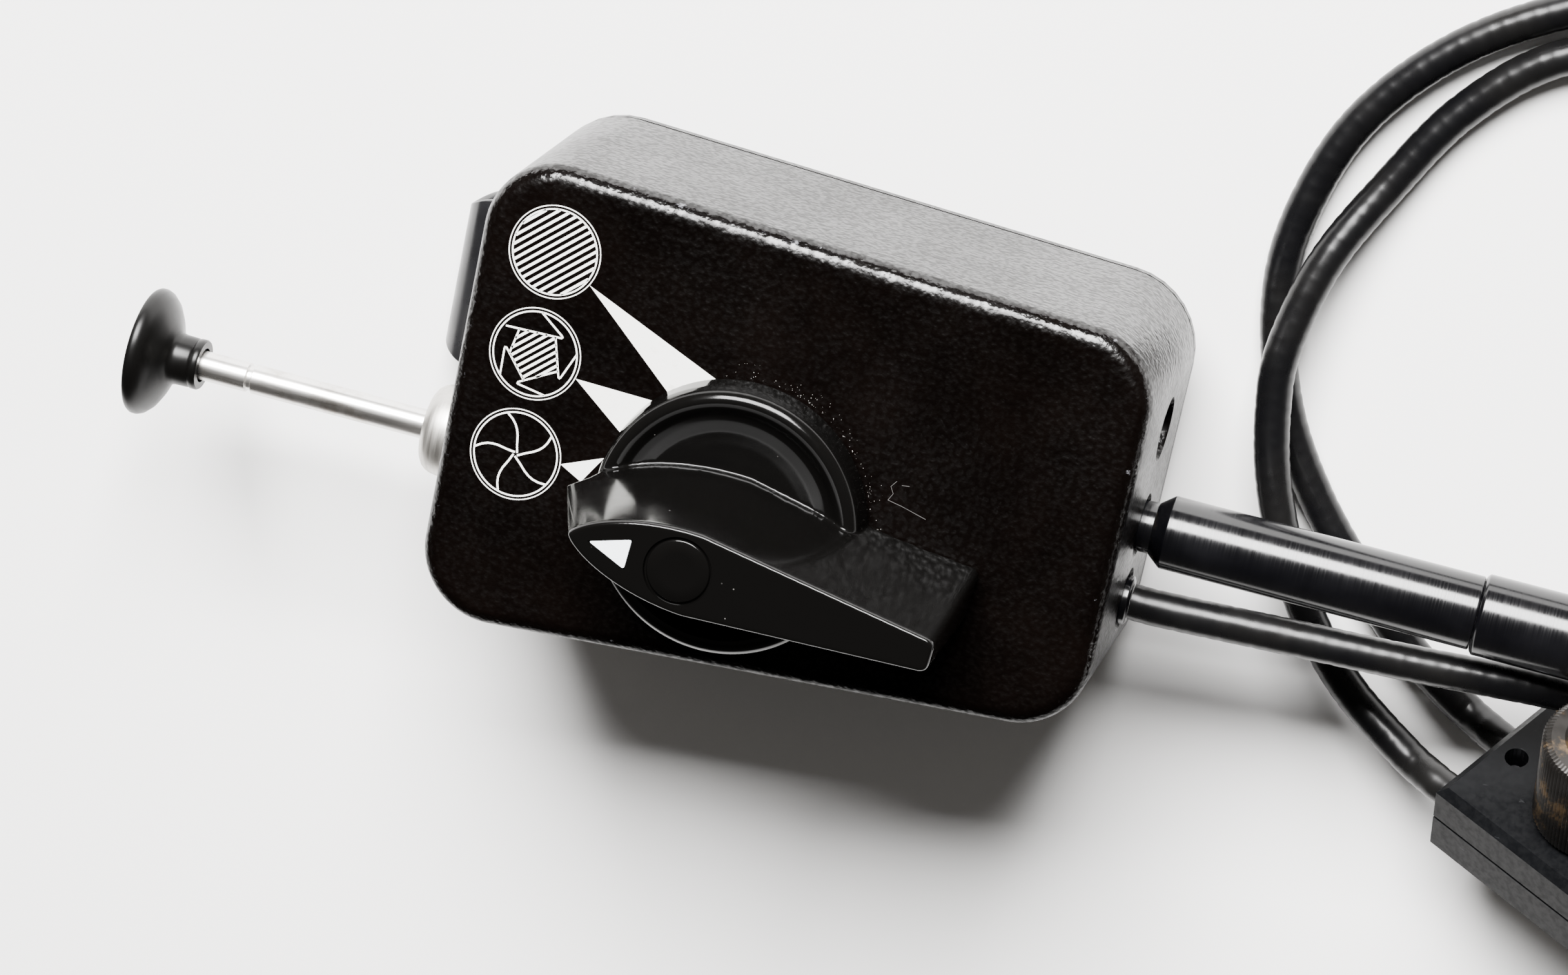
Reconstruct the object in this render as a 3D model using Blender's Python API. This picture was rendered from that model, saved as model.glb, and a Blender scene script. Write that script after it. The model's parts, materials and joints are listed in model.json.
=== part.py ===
"""Two-cable shutter release: a pocket-size control box with a plunger and a selector lever.

The box lies on its belt clip, face up. X runs from the plunger to the cable outlets,
Y across the box and Z up from the surface it lies on. All sizes are in millimetres and
are turned into metres when a mesh is made.
"""
import math

import bmesh
import bpy
from mathutils import Matrix, Vector

MM = 0.001
GAP = 0.3

# ---------------------------------------------------------------- housing
FACE_Z = 38.0
BACK_Z = 8.0
PLATE_T = 1.4
WALL = 1.8
DRAFT = 0.8
EDGE_R = 2.0
CORNER_R = 8.0
LEFT, RIGHT = -36.4, 36.4
LEFT_TOP, RIGHT_TOP = 25.6, 22.1
LEFT_LOW, RIGHT_LOW = -26.6, -20.6
RIM_Z = BACK_Z + PLATE_T + GAP
PILLARS = ((-28.5, 17.5), (28.5, 15.0), (28.0, -15.2), (-28.5, -18.5))
PILLAR_R = 2.6
SCREW_R = 1.2
HEAD_R = 2.4

# ---------------------------------------------------------------- belt clip
CLIP_T = 1.2
CLIP_Y = 2.75
CLIP_HALF_WIDTH = 9.75
CLIP_BEND_X = -42.8
CLIP_BEND_R = 3.2
RIVET_X = (-12.0, 12.0)

# ---------------------------------------------------------------- ports and plunger
PORT_Z = 21.0
PORT_R = 3.4
SPARE_Y = 9.8
APERTURE_Y = -1.1
RELEASE_Y = -9.6
PLUNGER_Y = -10.8
ROD_R = 1.65
WIRE_R = 0.6

# ---------------------------------------------------------------- selector
KNOB_X, KNOB_Y = -3.8, -6.3
LEVER_ANGLE = math.radians(-4.0)
LEVER_TOP = 24.0
LEVER_WIDEST = 1.5
LEVER_TAIL = 26.7
NOSE_FOOT = 9.6
DISC_R = 14.6
SHAFT_R = 2.9
PINION_Z = (26.2, 28.8)
PINION_TEETH = 16
TOOTH_MODULE = 0.75
PITCH_R = PINION_TEETH * TOOTH_MODULE / 2
SELECTOR_STEP = math.radians(29.25)

# ---------------------------------------------------------------- coupling block
BLOCK_LENGTH = 28.0
BLOCK_WIDTH = 18.0
BLOCK_T = 10.0
BLOCK_SPLIT = 4.8
BLOCK_YAW = math.radians(-15.0)
BLOCK_RISE = math.radians(28.0)
BLOCK_TILT = math.radians(50.5)
BLOCK_CORNER = Vector((74.9, -30.2, BLOCK_WIDTH * math.sin(BLOCK_TILT) * math.cos(BLOCK_RISE)))
STUD_END = -6.5
STUD_R = 2.0
ENTRY_RELEASE, ENTRY_APERTURE = 3.8, 13.2
ENTRY_Z = 4.8
LUG_RELEASE, LUG_APERTURE = 3.8, 13.8
FERRULE_END = -2.6

# ---------------------------------------------------------------- cables
CABLE_R = 2.0
CABLE_STEP = 9.0
RELEASE_START_X = 41.3
APERTURE_START_X = 106.6


def block_matrix():
    """Place of the coupling block: one corner on the surface, held leaning by the stiff cables."""
    turn = (Matrix.Rotation(BLOCK_YAW, 4, "Z") @ Matrix.Rotation(-BLOCK_RISE, 4, "Y")
            @ Matrix.Rotation(-BLOCK_TILT, 4, "X"))
    return Matrix.Translation(BLOCK_CORNER) @ turn


BLOCK = block_matrix()

# Routes of the two cables: points on the centre line, chosen by hand.
RELEASE_ROUTE = (
    (RELEASE_START_X, -9.6, 21.0), (54.0, -9.1, 20.6), (68.0, -8.7, 19.6), (82.0, -8.3, 17.6),
    (98.0, -9.1, 12.2), (112.0, -9.8, 6.2), (126.0, -7.6, 2.8), (138.0, -1.0, 2.05),
    (146.0, 10.0, 2.05), (149.0, 23.0, 3.0), (146.0, 36.0, 5.6), (138.0, 46.0, 7.0),
    (128.0, 53.0, 7.0), (118.0, 57.5, 4.2), (106.0, 60.0, 2.05), (92.0, 60.4, 2.05),
    (79.0, 58.8, 2.05), (67.0, 55.1, 2.05), (58.5, 47.2, 2.05), (52.6, 37.2, 2.8),
    (48.2, 28.0, 5.4), (46.2, 18.1, 6.8), (46.7, 11.0, 6.8), (48.7, 3.2, 6.8),
    (52.4, -5.0, 6.8), (57.0, -12.0, 6.4), (62.4, -17.6, 6.4),
)
APERTURE_ROUTE = (
    (APERTURE_START_X, -1.1, 21.0), (116.0, -0.9, 20.5), (126.5, 3.0, 14.6), (135.0, 11.0, 7.0),
    (139.3, 21.0, 2.8), (139.8, 33.0, 2.05), (136.5, 45.5, 2.05), (130.5, 56.0, 2.05),
    (121.0, 63.5, 2.05), (108.0, 67.0, 2.05), (93.0, 67.2, 2.05), (79.0, 65.0, 2.05),
    (66.0, 60.0, 2.05), (55.5, 52.8, 2.05), (47.8, 43.0, 2.05), (44.2, 31.5, 2.05),
    (44.3, 21.5, 2.05), (47.8, 10.5, 2.05), (53.6, 1.4, 2.05), (61.0, -6.6, 2.05), (67.6, -12.6, 2.05),
)


def clear_scene():
    for obj in list(bpy.data.objects):
        bpy.data.objects.remove(obj, do_unlink=True)


def material(name, color, roughness, metallic=0.0):
    mat = bpy.data.materials.new(name)
    mat.use_nodes = True
    shader = mat.node_tree.nodes["Principled BSDF"]
    shader.inputs["Base Color"].default_value = (*color, 1.0)
    shader.inputs["Roughness"].default_value = roughness
    shader.inputs["Metallic"].default_value = metallic
    return mat


def pivot(name, place):
    empty = bpy.data.objects.new(name, None)
    empty.location = Vector(place) * MM
    bpy.context.scene.collection.objects.link(empty)
    return empty


def finish(name, bm, mat, joint=None, place=None):
    """Turn a bmesh in millimetres into a named object in metres, hung on its joint's empty."""
    if place is not None:
        bmesh.ops.transform(bm, matrix=place, verts=bm.verts)
    bmesh.ops.scale(bm, vec=(MM, MM, MM), verts=bm.verts)
    if joint is not None:
        bmesh.ops.translate(bm, vec=-joint.location, verts=bm.verts)
    bmesh.ops.recalc_face_normals(bm, faces=bm.faces)
    mesh = bpy.data.meshes.new(name)
    bm.to_mesh(mesh)
    bm.free()
    mesh.materials.append(mat)
    obj = bpy.data.objects.new(name, mesh)
    obj.parent = joint
    bpy.context.scene.collection.objects.link(obj)
    return obj


def cutter(name, bm, joint=None, place=None):
    mat = bpy.data.materials.get("cutter") or material("cutter", (1.0, 0.2, 0.1), 0.5)
    obj = finish(name, bm, mat, joint, place)
    obj.display_type = "WIRE"
    obj.hide_render = True
    return obj


def boolean(obj, tool, operation="DIFFERENCE"):
    mod = obj.modifiers.new(tool.name, "BOOLEAN")
    mod.operation = operation
    mod.solver = "EXACT"
    mod.object = tool


def along(axis):
    """Rotation that takes +Z to the given axis."""
    return Vector((0, 0, 1)).rotation_difference(Vector(axis)).to_matrix().to_4x4()


def loft(bm, rings, caps=True, loop=False):
    """Skin a list of equal-count point rings."""
    rows = [[bm.verts.new(point) for point in ring] for ring in rings]
    pairs = list(zip(rows, rows[1:]))
    if loop:
        pairs.append((rows[-1], rows[0]))
    for low, high in pairs:
        for i in range(len(low)):
            j = (i + 1) % len(low)
            bm.faces.new((low[i], low[j], high[j], high[i]))
    if caps and not loop:
        bm.faces.new(rows[0])
        bm.faces.new(rows[-1])
    return rows


def circle(radius, z, count=32):
    return [(radius * math.cos(2 * math.pi * i / count), radius * math.sin(2 * math.pi * i / count), z)
            for i in range(count)]


def turned(profile, base, axis, count=32):
    """Solid of revolution: (distance along the axis, radius) pairs with flat ends."""
    bm = bmesh.new()
    loft(bm, [circle(radius, z, count) for z, radius in profile])
    bmesh.ops.transform(bm, matrix=Matrix.Translation(Vector(base)) @ along(axis), verts=bm.verts)
    return bm


def turned_ring(profile, base, axis, count=32):
    """Hollow solid of revolution: the profile is a closed loop that never meets the axis."""
    bm = bmesh.new()
    loft(bm, [circle(radius, z, count) for z, radius in profile], loop=True)
    bmesh.ops.transform(bm, matrix=Matrix.Translation(Vector(base)) @ along(axis), verts=bm.verts)
    return bm


def box(low, high, bm=None):
    bm = bm or bmesh.new()
    corners = ((low[0], low[1]), (high[0], low[1]), (high[0], high[1]), (low[0], high[1]))
    loft(bm, [[(x, y, z) for x, y in corners] for z in (low[2], high[2])])
    return bm


def extruded(outline, low, high, axis="Z"):
    """Prism of a flat outline: XY points along Z, or YZ points along X."""
    bm = bmesh.new()
    if axis == "Z":
        loft(bm, [[(a, b, h) for a, b in outline] for h in (low, high)])
    else:
        loft(bm, [[(h, a, b) for a, b in outline] for h in (low, high)])
    return bm


def smooth(obj):
    for polygon in obj.data.polygons:
        polygon.use_smooth = True


# ---------------------------------------------------------------- housing
def housing_outline(offset, corner_steps=8):
    """Tapered outline with round corners, grown outwards by offset."""
    corners = ((LEFT, LEFT_LOW), (RIGHT, RIGHT_LOW), (RIGHT, RIGHT_TOP), (LEFT, LEFT_TOP))
    points = [Vector(corner) for corner in corners]
    radius = CORNER_R + offset
    outline = []
    for i, corner in enumerate(points):
        back = (points[i - 1] - corner).normalized()
        ahead = (points[(i + 1) % 4] - corner).normalized()
        half = back.angle(ahead) / 2
        middle = (back + ahead).normalized()
        centre = corner + middle * CORNER_R / math.sin(half)
        start = math.atan2(-middle.y, -middle.x) - (math.pi / 2 - half)
        for step in range(corner_steps + 1):
            angle = start + (math.pi - 2 * half) * step / corner_steps
            outline.append(centre + Vector((math.cos(angle), math.sin(angle))) * radius)
    return [(p.x, p.y) for p in outline]


def outline_at(offset, z):
    return [(x, y, z) for x, y in housing_outline(offset)]


def build_cover(mat):
    inner_top = FACE_Z - WALL
    rings = [outline_at(-WALL - 0.3, inner_top), outline_at(-WALL, inner_top - 0.6),
             outline_at(DRAFT - WALL, RIM_Z), outline_at(DRAFT, RIM_Z)]
    for step in range(6):
        angle = math.pi / 2 * step / 5
        rings.append(outline_at(EDGE_R * (math.cos(angle) - 1), FACE_Z - EDGE_R * (1 - math.sin(angle))))
    bm = bmesh.new()
    loft(bm, rings)
    cover = finish("front_cover", bm, mat)
    pillars = bmesh.new()
    pilots = bmesh.new()
    for x, y in PILLARS:
        part_ring(pillars, (x, y), PILLAR_R, RIM_Z, inner_top + 0.6)
        part_ring(pilots, (x, y), SCREW_R + GAP, RIM_Z - 1.0, RIM_Z + 13.0)
    boolean(cover, cutter("cover_pillars", pillars), "UNION")
    part_ring(pilots, (KNOB_X, KNOB_Y), 4.3, inner_top - 2.0, FACE_Z + 1.0)
    boolean(cover, cutter("cover_upright_holes", pilots))
    sides = bmesh.new()
    for y in (SPARE_Y, APERTURE_Y, RELEASE_Y):
        side_ring(sides, y, PORT_R, RIGHT - 4.0, RIGHT + 2.0)
    side_ring(sides, PLUNGER_Y, 3.6, LEFT - 2.0, LEFT + 4.0)
    boolean(cover, cutter("cover_side_holes", sides))
    return cover


def part_ring(bm, centre, radius, low, high, count=24):
    """Add an upright cylinder to a bmesh."""
    x, y = centre
    loft(bm, [[(x + a, y + b, z) for a, b, z in circle(radius, h, count)] for h in (low, high)])


def side_ring(bm, y, radius, low, high, count=24):
    """Add a cylinder along X at the ports' height to a bmesh."""
    loft(bm, [[(h, y + a, PORT_Z + b) for a, b, _ in circle(radius, 0, count)] for h in (low, high)])


GUIDE_SCREWS = ((-18.0, -10.6), (6.0, -10.6))


def build_back(mats):
    bm = bmesh.new()
    edge = 0.25
    loft(bm, [outline_at(DRAFT - edge, BACK_Z), outline_at(DRAFT, BACK_Z + edge),
              outline_at(DRAFT, BACK_Z + PLATE_T)])
    plate = finish("back_plate", bm, mats["paint"])
    holes = bmesh.new()
    for x, y in PILLARS + GUIDE_SCREWS:
        countersink(holes, x, y)
    for x in RIVET_X:
        part_ring(holes, (x, CLIP_Y), 1.15, BACK_Z - 1.0, BACK_Z + 3.0, 16)
    boolean(plate, cutter("plate_holes", holes))
    slots = bmesh.new()
    for x, y in PILLARS + GUIDE_SCREWS:
        box((x - 3.0, y - 0.3, BACK_Z - 0.5), (x + 3.0, y + 0.3, BACK_Z + 0.75), slots)
    slot_tool = cutter("screw_slots", slots)
    for number, (x, y) in enumerate(PILLARS, 1):
        profile = ((0.15, HEAD_R), (0.35, HEAD_R), (1.55, SCREW_R), (13.0, SCREW_R), (13.6, SCREW_R / 2))
        screw = finish(f"back_screw_{number}", turned(profile, (x, y, BACK_Z), (0, 0, 1), 20), mats["screw"])
        boolean(screw, slot_tool)
    for number, (x, y) in enumerate(GUIDE_SCREWS, 1):
        profile = ((0.15, HEAD_R), (0.35, HEAD_R), (1.55, SCREW_R), (6.4, SCREW_R), (7.0, SCREW_R / 2))
        screw = finish(f"guide_screw_{number}", turned(profile, (x, y, BACK_Z), (0, 0, 1), 20), mats["screw"])
        boolean(screw, slot_tool)


def countersink(bm, x, y):
    """Hole for a flat-head screw, a little larger all round than the screw."""
    head, shank = HEAD_R + 0.35, SCREW_R + 0.5
    profile = ((-1.0, head), (0.55, head), (1.35, shank), (3.0, shank))
    loft(bm, [[(x + a, y + b, BACK_Z + z) for a, b, _ in circle(radius, 0, 20)] for z, radius in profile])


def clip_path():
    """Centre line of the clip strip in XZ, from the riveted end round the bend to the tongue's tip."""
    top = CLIP_T / 2 + 2 * CLIP_BEND_R
    path = [(24.0, top, 0.0), (0.0, top, 0.0), (CLIP_BEND_X, top, 0.0)]
    for step in range(1, 9):
        angle = math.pi / 2 + math.pi * step / 9
        reach = math.sin(math.pi * step / 9)
        path.append((CLIP_BEND_X + CLIP_BEND_R * math.cos(angle),
                     CLIP_T / 2 + CLIP_BEND_R * (1 + math.sin(angle)), 1.6 * reach * reach))
    low = CLIP_T / 2
    path += [(CLIP_BEND_X, low, 0.0), (0.0, low, 0.0), (17.0, low, 0.0), (19.5, low + 0.5, 0.0),
             (22.0, low + 1.5, 0.4), (24.0, low + 1.7, 1.0), (26.0, low + 1.3, 2.4)]
    return path


def build_clip(mats):
    path = clip_path()
    rings = []
    for i, (x, z, narrow) in enumerate(path):
        ahead = path[min(i + 1, len(path) - 1)]
        behind = path[max(i - 1, 0)]
        run = Vector((ahead[0] - behind[0], ahead[1] - behind[1])).normalized()
        side = Vector((-run.y, run.x)) * CLIP_T / 2
        half = CLIP_HALF_WIDTH - narrow
        corners = ((side, -half), (side, half), (-side, half), (-side, -half))
        rings.append([(x + s.x, CLIP_Y + w, z + s.y) for s, w in corners])
    bm = bmesh.new()
    loft(bm, rings)
    clip = finish("belt_clip", bm, mats["clip"])
    holes = bmesh.new()
    for x in RIVET_X:
        part_ring(holes, (x, CLIP_Y), 1.15, 5.4, 8.6, 16)
    boolean(clip, cutter("clip_holes", holes))
    for number, x in enumerate(RIVET_X, 1):
        profile = ((5.35, 1.0), (5.65, 1.7), (6.1, 2.0), (6.1, 0.85), (9.7, 0.85), (9.7, 1.8), (10.4, 1.5))
        finish(f"clip_rivet_{number}", turned(profile, (x, CLIP_Y, 0), (0, 0, 1), 20), mats["steel"])


# ---------------------------------------------------------------- plunger
def build_plunger(mats, joint):
    place = (0, PLUNGER_Y, PORT_Z)
    button = ((-75.9, 6.6), (-75.9, 7.0), (-75.6, 7.2), (-75.0, 7.1), (-74.1, 6.4), (-73.3, 5.2),
              (-72.7, 3.9), (-72.1, 3.0), (-71.4, 2.86), (-69.8, 2.86), (-69.0, 2.8), (-69.0, 1.95),
              (-74.0, 1.95), (-74.0, 0.3))
    dish = ((-75.0, 0.3), (-75.1, 3.0), (-75.4, 5.2))
    bm = bmesh.new()
    rows = loft(bm, [circle(r, z, 40) for z, r in button], caps=False)
    front = loft(bm, [circle(r, z, 40) for z, r in dish], caps=False)
    bm.faces.new(rows[-1])
    bm.faces.new(front[0])
    for i in range(40):
        j = (i + 1) % 40
        bm.faces.new((front[-1][i], front[-1][j], rows[0][j], rows[0][i]))
    bmesh.ops.transform(bm, matrix=Matrix.Translation(Vector(place)) @ along((1, 0, 0)), verts=bm.verts)
    smooth(finish("plunger_button", bm, mats["gloss"], joint))
    rod = ((-73.7, 1.4), (-73.4, ROD_R), (-63.6, ROD_R), (-63.4, ROD_R - 0.25), (-63.0, ROD_R - 0.25),
           (-62.8, ROD_R), (-28.4, ROD_R), (-28.1, 1.4))
    finish("plunger_rod", turned(rod, place, (1, 0, 0), 28), mats["steel"], joint)
    slider = box((-27.8, PLUNGER_Y - 1.8, PORT_Z - 2.5), (-14.0, RELEASE_Y + 1.8, PORT_Z + 2.5))
    finish("release_slider", slider, mats["brass"], joint)
    wire = ((-13.7, WIRE_R), (22.0, WIRE_R), (22.3, 0.3))
    wire_place = (0, RELEASE_Y, PORT_Z)
    finish("release_wire", turned(wire, wire_place, (1, 0, 0), 12), mats["steel"], joint)
    build_spring(mats["steel"])


def build_spring(mat):
    """Return spring round the wire, between the slider and the gland."""
    turns, per_turn, radius, thick = 13, 12, 1.75, 0.32
    low, high = -13.3, 28.6
    bm = bmesh.new()
    rings = []
    count = turns * per_turn
    for i in range(count + 1):
        angle = 2 * math.pi * i / per_turn
        out = Vector((0, math.cos(angle), math.sin(angle)))
        x = low + (high - low) * i / count
        centre = Vector((x, RELEASE_Y, PORT_Z)) + out * radius
        ring = []
        for k in range(5):
            turn = 2 * math.pi * k / 5
            ring.append(centre + out * thick * math.cos(turn) + Vector((1, 0, 0)) * thick * math.sin(turn))
        rings.append(ring)
    loft(bm, rings)
    finish("return_spring", bm, mat)


def build_left_fittings(mats):
    place = (0, PLUNGER_Y, PORT_Z)
    bushing = ((-42.1, 2.4), (-42.1, 4.1), (-41.8, 4.6), (-41.2, 5.0), (-40.4, 5.2), (-37.2, 5.2),
               (-37.2, 3.3), (-31.6, 3.3), (-31.6, ROD_R + 0.15), (-41.8, ROD_R + 0.15))
    smooth_bushing = turned_ring(bushing, place, (1, 0, 0), 40)
    finish("plunger_bushing", smooth_bushing, mats["nickel"])
    bm = bmesh.new()
    inner, outer = 3.6, 5.6
    rings = [[hexagon_point(outer, i, 24) + (x,) for i in range(24)] for x in (-34.8, -32.4)]
    holes = [[(a, b, x) for a, b, _ in circle(inner, 0, 24)] for x in (-32.4, -34.8)]
    loft(bm, rings + holes, loop=True)
    bmesh.ops.transform(bm, matrix=Matrix.Translation(Vector(place)) @ along((1, 0, 0)), verts=bm.verts)
    finish("plunger_nut", bm, mats["brass"])


def hexagon_point(radius, index, count):
    angle = 2 * math.pi * index / count
    sector = (angle + math.pi / 6) % (math.pi / 3) - math.pi / 6
    reach = radius * math.cos(math.pi / 6) / math.cos(sector)
    return (reach * math.cos(angle), reach * math.sin(angle))


def build_release_guide(mats):
    top, floor_z = PORT_Z + 1.2, PORT_Z - 2.8
    inner = (PLUNGER_Y - 2.1, RELEASE_Y + 2.1)
    outer = (inner[0] - 1.5, inner[1] + 1.5)
    base = BACK_Z + PLATE_T + GAP
    outline = ((outer[0], base), (outer[1], base), (outer[1], top), (inner[1], top),
               (inner[1], floor_z), (inner[0], floor_z), (inner[0], top), (outer[0], top))
    guide = finish("release_guide", extruded(outline, -23.0, 12.0, "X"), mats["steel"])
    holes = bmesh.new()
    for x, y in GUIDE_SCREWS:
        part_ring(holes, (x, y), SCREW_R + GAP, base - 1.0, base + 6.0, 20)
    boolean(guide, cutter("guide_holes", holes))


# ---------------------------------------------------------------- outlets
def build_ports(mats):
    insert = ((31.5, 3.1), (32.6, 3.1), (32.6, 4.0), (34.7, 4.0), (34.7, 3.1), (35.9, 3.1),
              (35.9, 2.3), (31.5, 2.3))
    for number, y in enumerate((SPARE_Y, APERTURE_Y, RELEASE_Y), 1):
        finish(f"port_insert_{number}", turned_ring(insert, (0, y, PORT_Z), (1, 0, 0), 28), mats["brass"])
    tube_place = (0, APERTURE_Y, PORT_Z)
    neck = ((30.0, 2.0), (36.2, 2.0), (36.2, 2.8), (37.9, 2.8), (37.9, 1.2), (30.0, 1.2))
    finish("tube_neck", turned_ring(neck, tube_place, (1, 0, 0), 28), mats["anodised"])
    tube = ((38.2, 2.8), (39.6, 4.0), (73.0, 4.0), (73.2, 3.8), (73.2, 1.2), (38.2, 1.2))
    finish("adjuster_tube", turned_ring(tube, tube_place, (1, 0, 0), 40), mats["anodised"])
    sleeve = ((73.5, 4.1), (73.8, 4.4), (97.6, 4.4), (98.0, 4.0), (98.0, 1.2), (73.5, 1.2))
    finish("adjuster_sleeve", turned_ring(sleeve, tube_place, (1, 0, 0), 40), mats["anodised"])
    tip = ((98.3, 3.7), (101.0, 3.4), (104.0, 2.8), (106.3, 2.3), (106.3, 0.9), (98.3, 0.9))
    finish("aperture_relief", turned_ring(tip, tube_place, (1, 0, 0), 28), mats["rubber"])
    cable_place = (0, RELEASE_Y, PORT_Z)
    gland = ((29.0, 2.0), (36.2, 2.0), (36.2, 2.9), (37.2, 2.9), (37.2, 1.0), (29.0, 1.0))
    finish("release_gland", turned_ring(gland, cable_place, (1, 0, 0), 28), mats["anodised"])
    relief = ((37.5, 2.6), (38.4, 2.6), (41.0, 2.2), (41.0, 0.9), (37.5, 0.9))
    finish("release_relief", turned_ring(relief, cable_place, (1, 0, 0), 28), mats["rubber"])


# ---------------------------------------------------------------- selector
def lever_half_width(u, z):
    """Half the lever's width at a distance u from the axis, towards the tail, and a height z."""
    share = z / LEVER_TOP
    if u <= LEVER_WIDEST:
        reach = (LEVER_WIDEST - u) / (LEVER_WIDEST - lever_nose(z))
        return (5.15 - 0.75 * share) * max(0.0, 1 - reach ** 2) ** (0.95 - 0.25 * share)
    foot = 3.05 + 2.1 * ((LEVER_TAIL - u) / (LEVER_TAIL - LEVER_WIDEST)) ** 1.9
    crest = 4.4 - 0.108 * (u - LEVER_WIDEST)
    return foot * (1 - share) + crest * share


def lever_nose(z):
    """The nose leans out as it goes down, as far as its overhang."""
    return -11.7 - 0.3 * (LEVER_TOP - max(z, NOSE_FOOT))


def lever_ring(z, inset=0.0):
    """Teardrop outline of the lever at one height, nose towards -u."""
    nose = lever_nose(z)
    stations = [nose + (LEVER_WIDEST - nose) * (1 - math.cos(math.pi / 2 * i / 9)) for i in range(1, 10)]
    stations += [4.0, 7.0, 11.0, 16.0, 21.0, LEVER_TAIL - 0.5]
    upper = [(u, lever_half_width(u, z) - inset) for u in stations]
    upper.append((LEVER_TAIL - inset, upper[-1][1] - 0.5))
    ring = [(nose + inset, 0.0)] + upper + [(u, -v) for u, v in reversed(upper)]
    return [(u, v, z) for u, v in ring]


def lever_place(z=FACE_Z):
    return Matrix.Translation(Vector((KNOB_X, KNOB_Y, z))) @ Matrix.Rotation(LEVER_ANGLE, 4, "Z")


POINTER = ((-9.5, 0.0), (-5.3, 1.6), (-5.3, -1.6))


def build_knob(mats, joint):
    bm = bmesh.new()
    loft(bm, [lever_ring(z) for z in (0.5, 5.0, NOSE_FOOT, 14.0, 19.0, 23.6)] + [lever_ring(LEVER_TOP, 0.35)])
    knob = finish("selector_knob", bm, mats["gloss"], joint, lever_place())
    overhang = bmesh.new()
    under = ((-20.0, -1.0), (-13.7, -1.0), (-13.7, 5.2), (-14.3, 7.9), (-15.4, 9.3), (-20.0, 9.9))
    loft(overhang, [[(u, v, z) for u, z in under] for v in (-9.0, 9.0)])
    boolean(knob, cutter("nose_overhang", overhang, joint, lever_place()))
    disc = ((0.6, DISC_R), (3.4, DISC_R - 0.2), (4.5, DISC_R - 0.5), (5.0, DISC_R - 1.0),
            (5.15, DISC_R - 1.5), (4.9, DISC_R - 2.1), (4.3, DISC_R - 2.9), (3.6, DISC_R - 4.4), (3.2, 6.0))
    rim = turned(disc, (0, 0, 0), (0, 0, 1), 64)
    boolean(knob, cutter("selector_disc", rim, joint, lever_place()), "UNION")
    bore = ((-0.5, 5.0), (1.2, 5.0), (1.2, SHAFT_R + GAP), (12.3, SHAFT_R + GAP), (12.3, 1.5),
            (14.1, 1.5), (14.1, 3.0), (21.5, 3.0), (21.5, 3.65), (25.0, 3.65))
    boolean(knob, cutter("knob_bore", turned(bore, (0, 0, 0), (0, 0, 1), 28), joint, lever_place()))
    recess = extruded(grown(POINTER, 0.15), LEVER_TOP - 1.0, LEVER_TOP + 1.0)
    boolean(knob, cutter("pointer_recess", recess, joint, lever_place()))
    inlay = extruded(POINTER, LEVER_TOP - 0.8, LEVER_TOP)
    finish("pointer_inlay", inlay, mats["white"], joint, lever_place())
    cap = ((21.9, 3.3), (22.1, 3.5), (LEVER_TOP - 0.15, 3.5), (LEVER_TOP, 3.35))
    finish("knob_cap", turned(cap, (0, 0, 0), (0, 0, 1), 32), mats["gloss"], joint, lever_place())


def grown(outline, distance):
    """Move each side of a small convex outline outwards."""
    centre = sum((Vector(p) for p in outline), Vector((0, 0))) / len(outline)
    inner = min((Vector(p) - centre).length for p in outline) / 2
    return [tuple(centre + (Vector(p) - centre) * (1 + distance / inner)) for p in outline]


def build_shaft(mats, joint):
    place = (KNOB_X, KNOB_Y, 0)
    shaft = ((24.9, SHAFT_R - 0.3), (25.2, SHAFT_R), (50.0, SHAFT_R), (50.0, 1.5), (42.0, 1.5), (42.0, 0.4))
    finish("selector_shaft", turned(shaft, place, (0, 0, 1), 28), mats["steel"], joint)
    screw = ((43.0, 0.8), (43.4, SCREW_R), (52.4, SCREW_R), (52.4, 2.6), (54.2, 2.6), (54.6, 2.2))
    knob_screw = finish("knob_screw", turned(screw, place, (0, 0, 1), 24), mats["screw"], joint)
    slot = box((KNOB_X - 4.0, KNOB_Y - 0.35, 53.7), (KNOB_X + 4.0, KNOB_Y + 0.35, 56.0))
    boolean(knob_screw, cutter("knob_screw_slot", slot, joint))
    ring = ((25.1, SHAFT_R + 0.25), (25.1, 4.4), (25.9, 4.4), (25.9, SHAFT_R + 0.25))
    finish("shaft_ring", turned_ring(ring, place, (0, 0, 1), 28), mats["steel"], joint)
    build_wheel("pinion", pinion_outline(), PINION_Z, mats["brass"], joint)
    build_wheel("detent_disc", detent_outline(), (30.6, 32.2), mats["steel"], joint)


def build_wheel(name, outline, heights, mat, joint):
    """Flat wheel with a round bore, its outline given about the selector's axis."""
    count = len(outline)
    low, high = heights
    bore = circle(SHAFT_R + 0.2, 0, count)
    start = math.atan2(outline[0][1], outline[0][0])
    turn = Matrix.Rotation(start, 2)
    inner = [tuple(turn @ Vector((a, b))) for a, b, _ in bore]
    bm = bmesh.new()
    loft(bm, [[(x, y, low) for x, y in outline], [(x, y, high) for x, y in outline],
              [(x, y, high) for x, y in inner], [(x, y, low) for x, y in inner]], loop=True)
    finish(name, bm, mat, joint, Matrix.Translation((KNOB_X, KNOB_Y, 0)))


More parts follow.
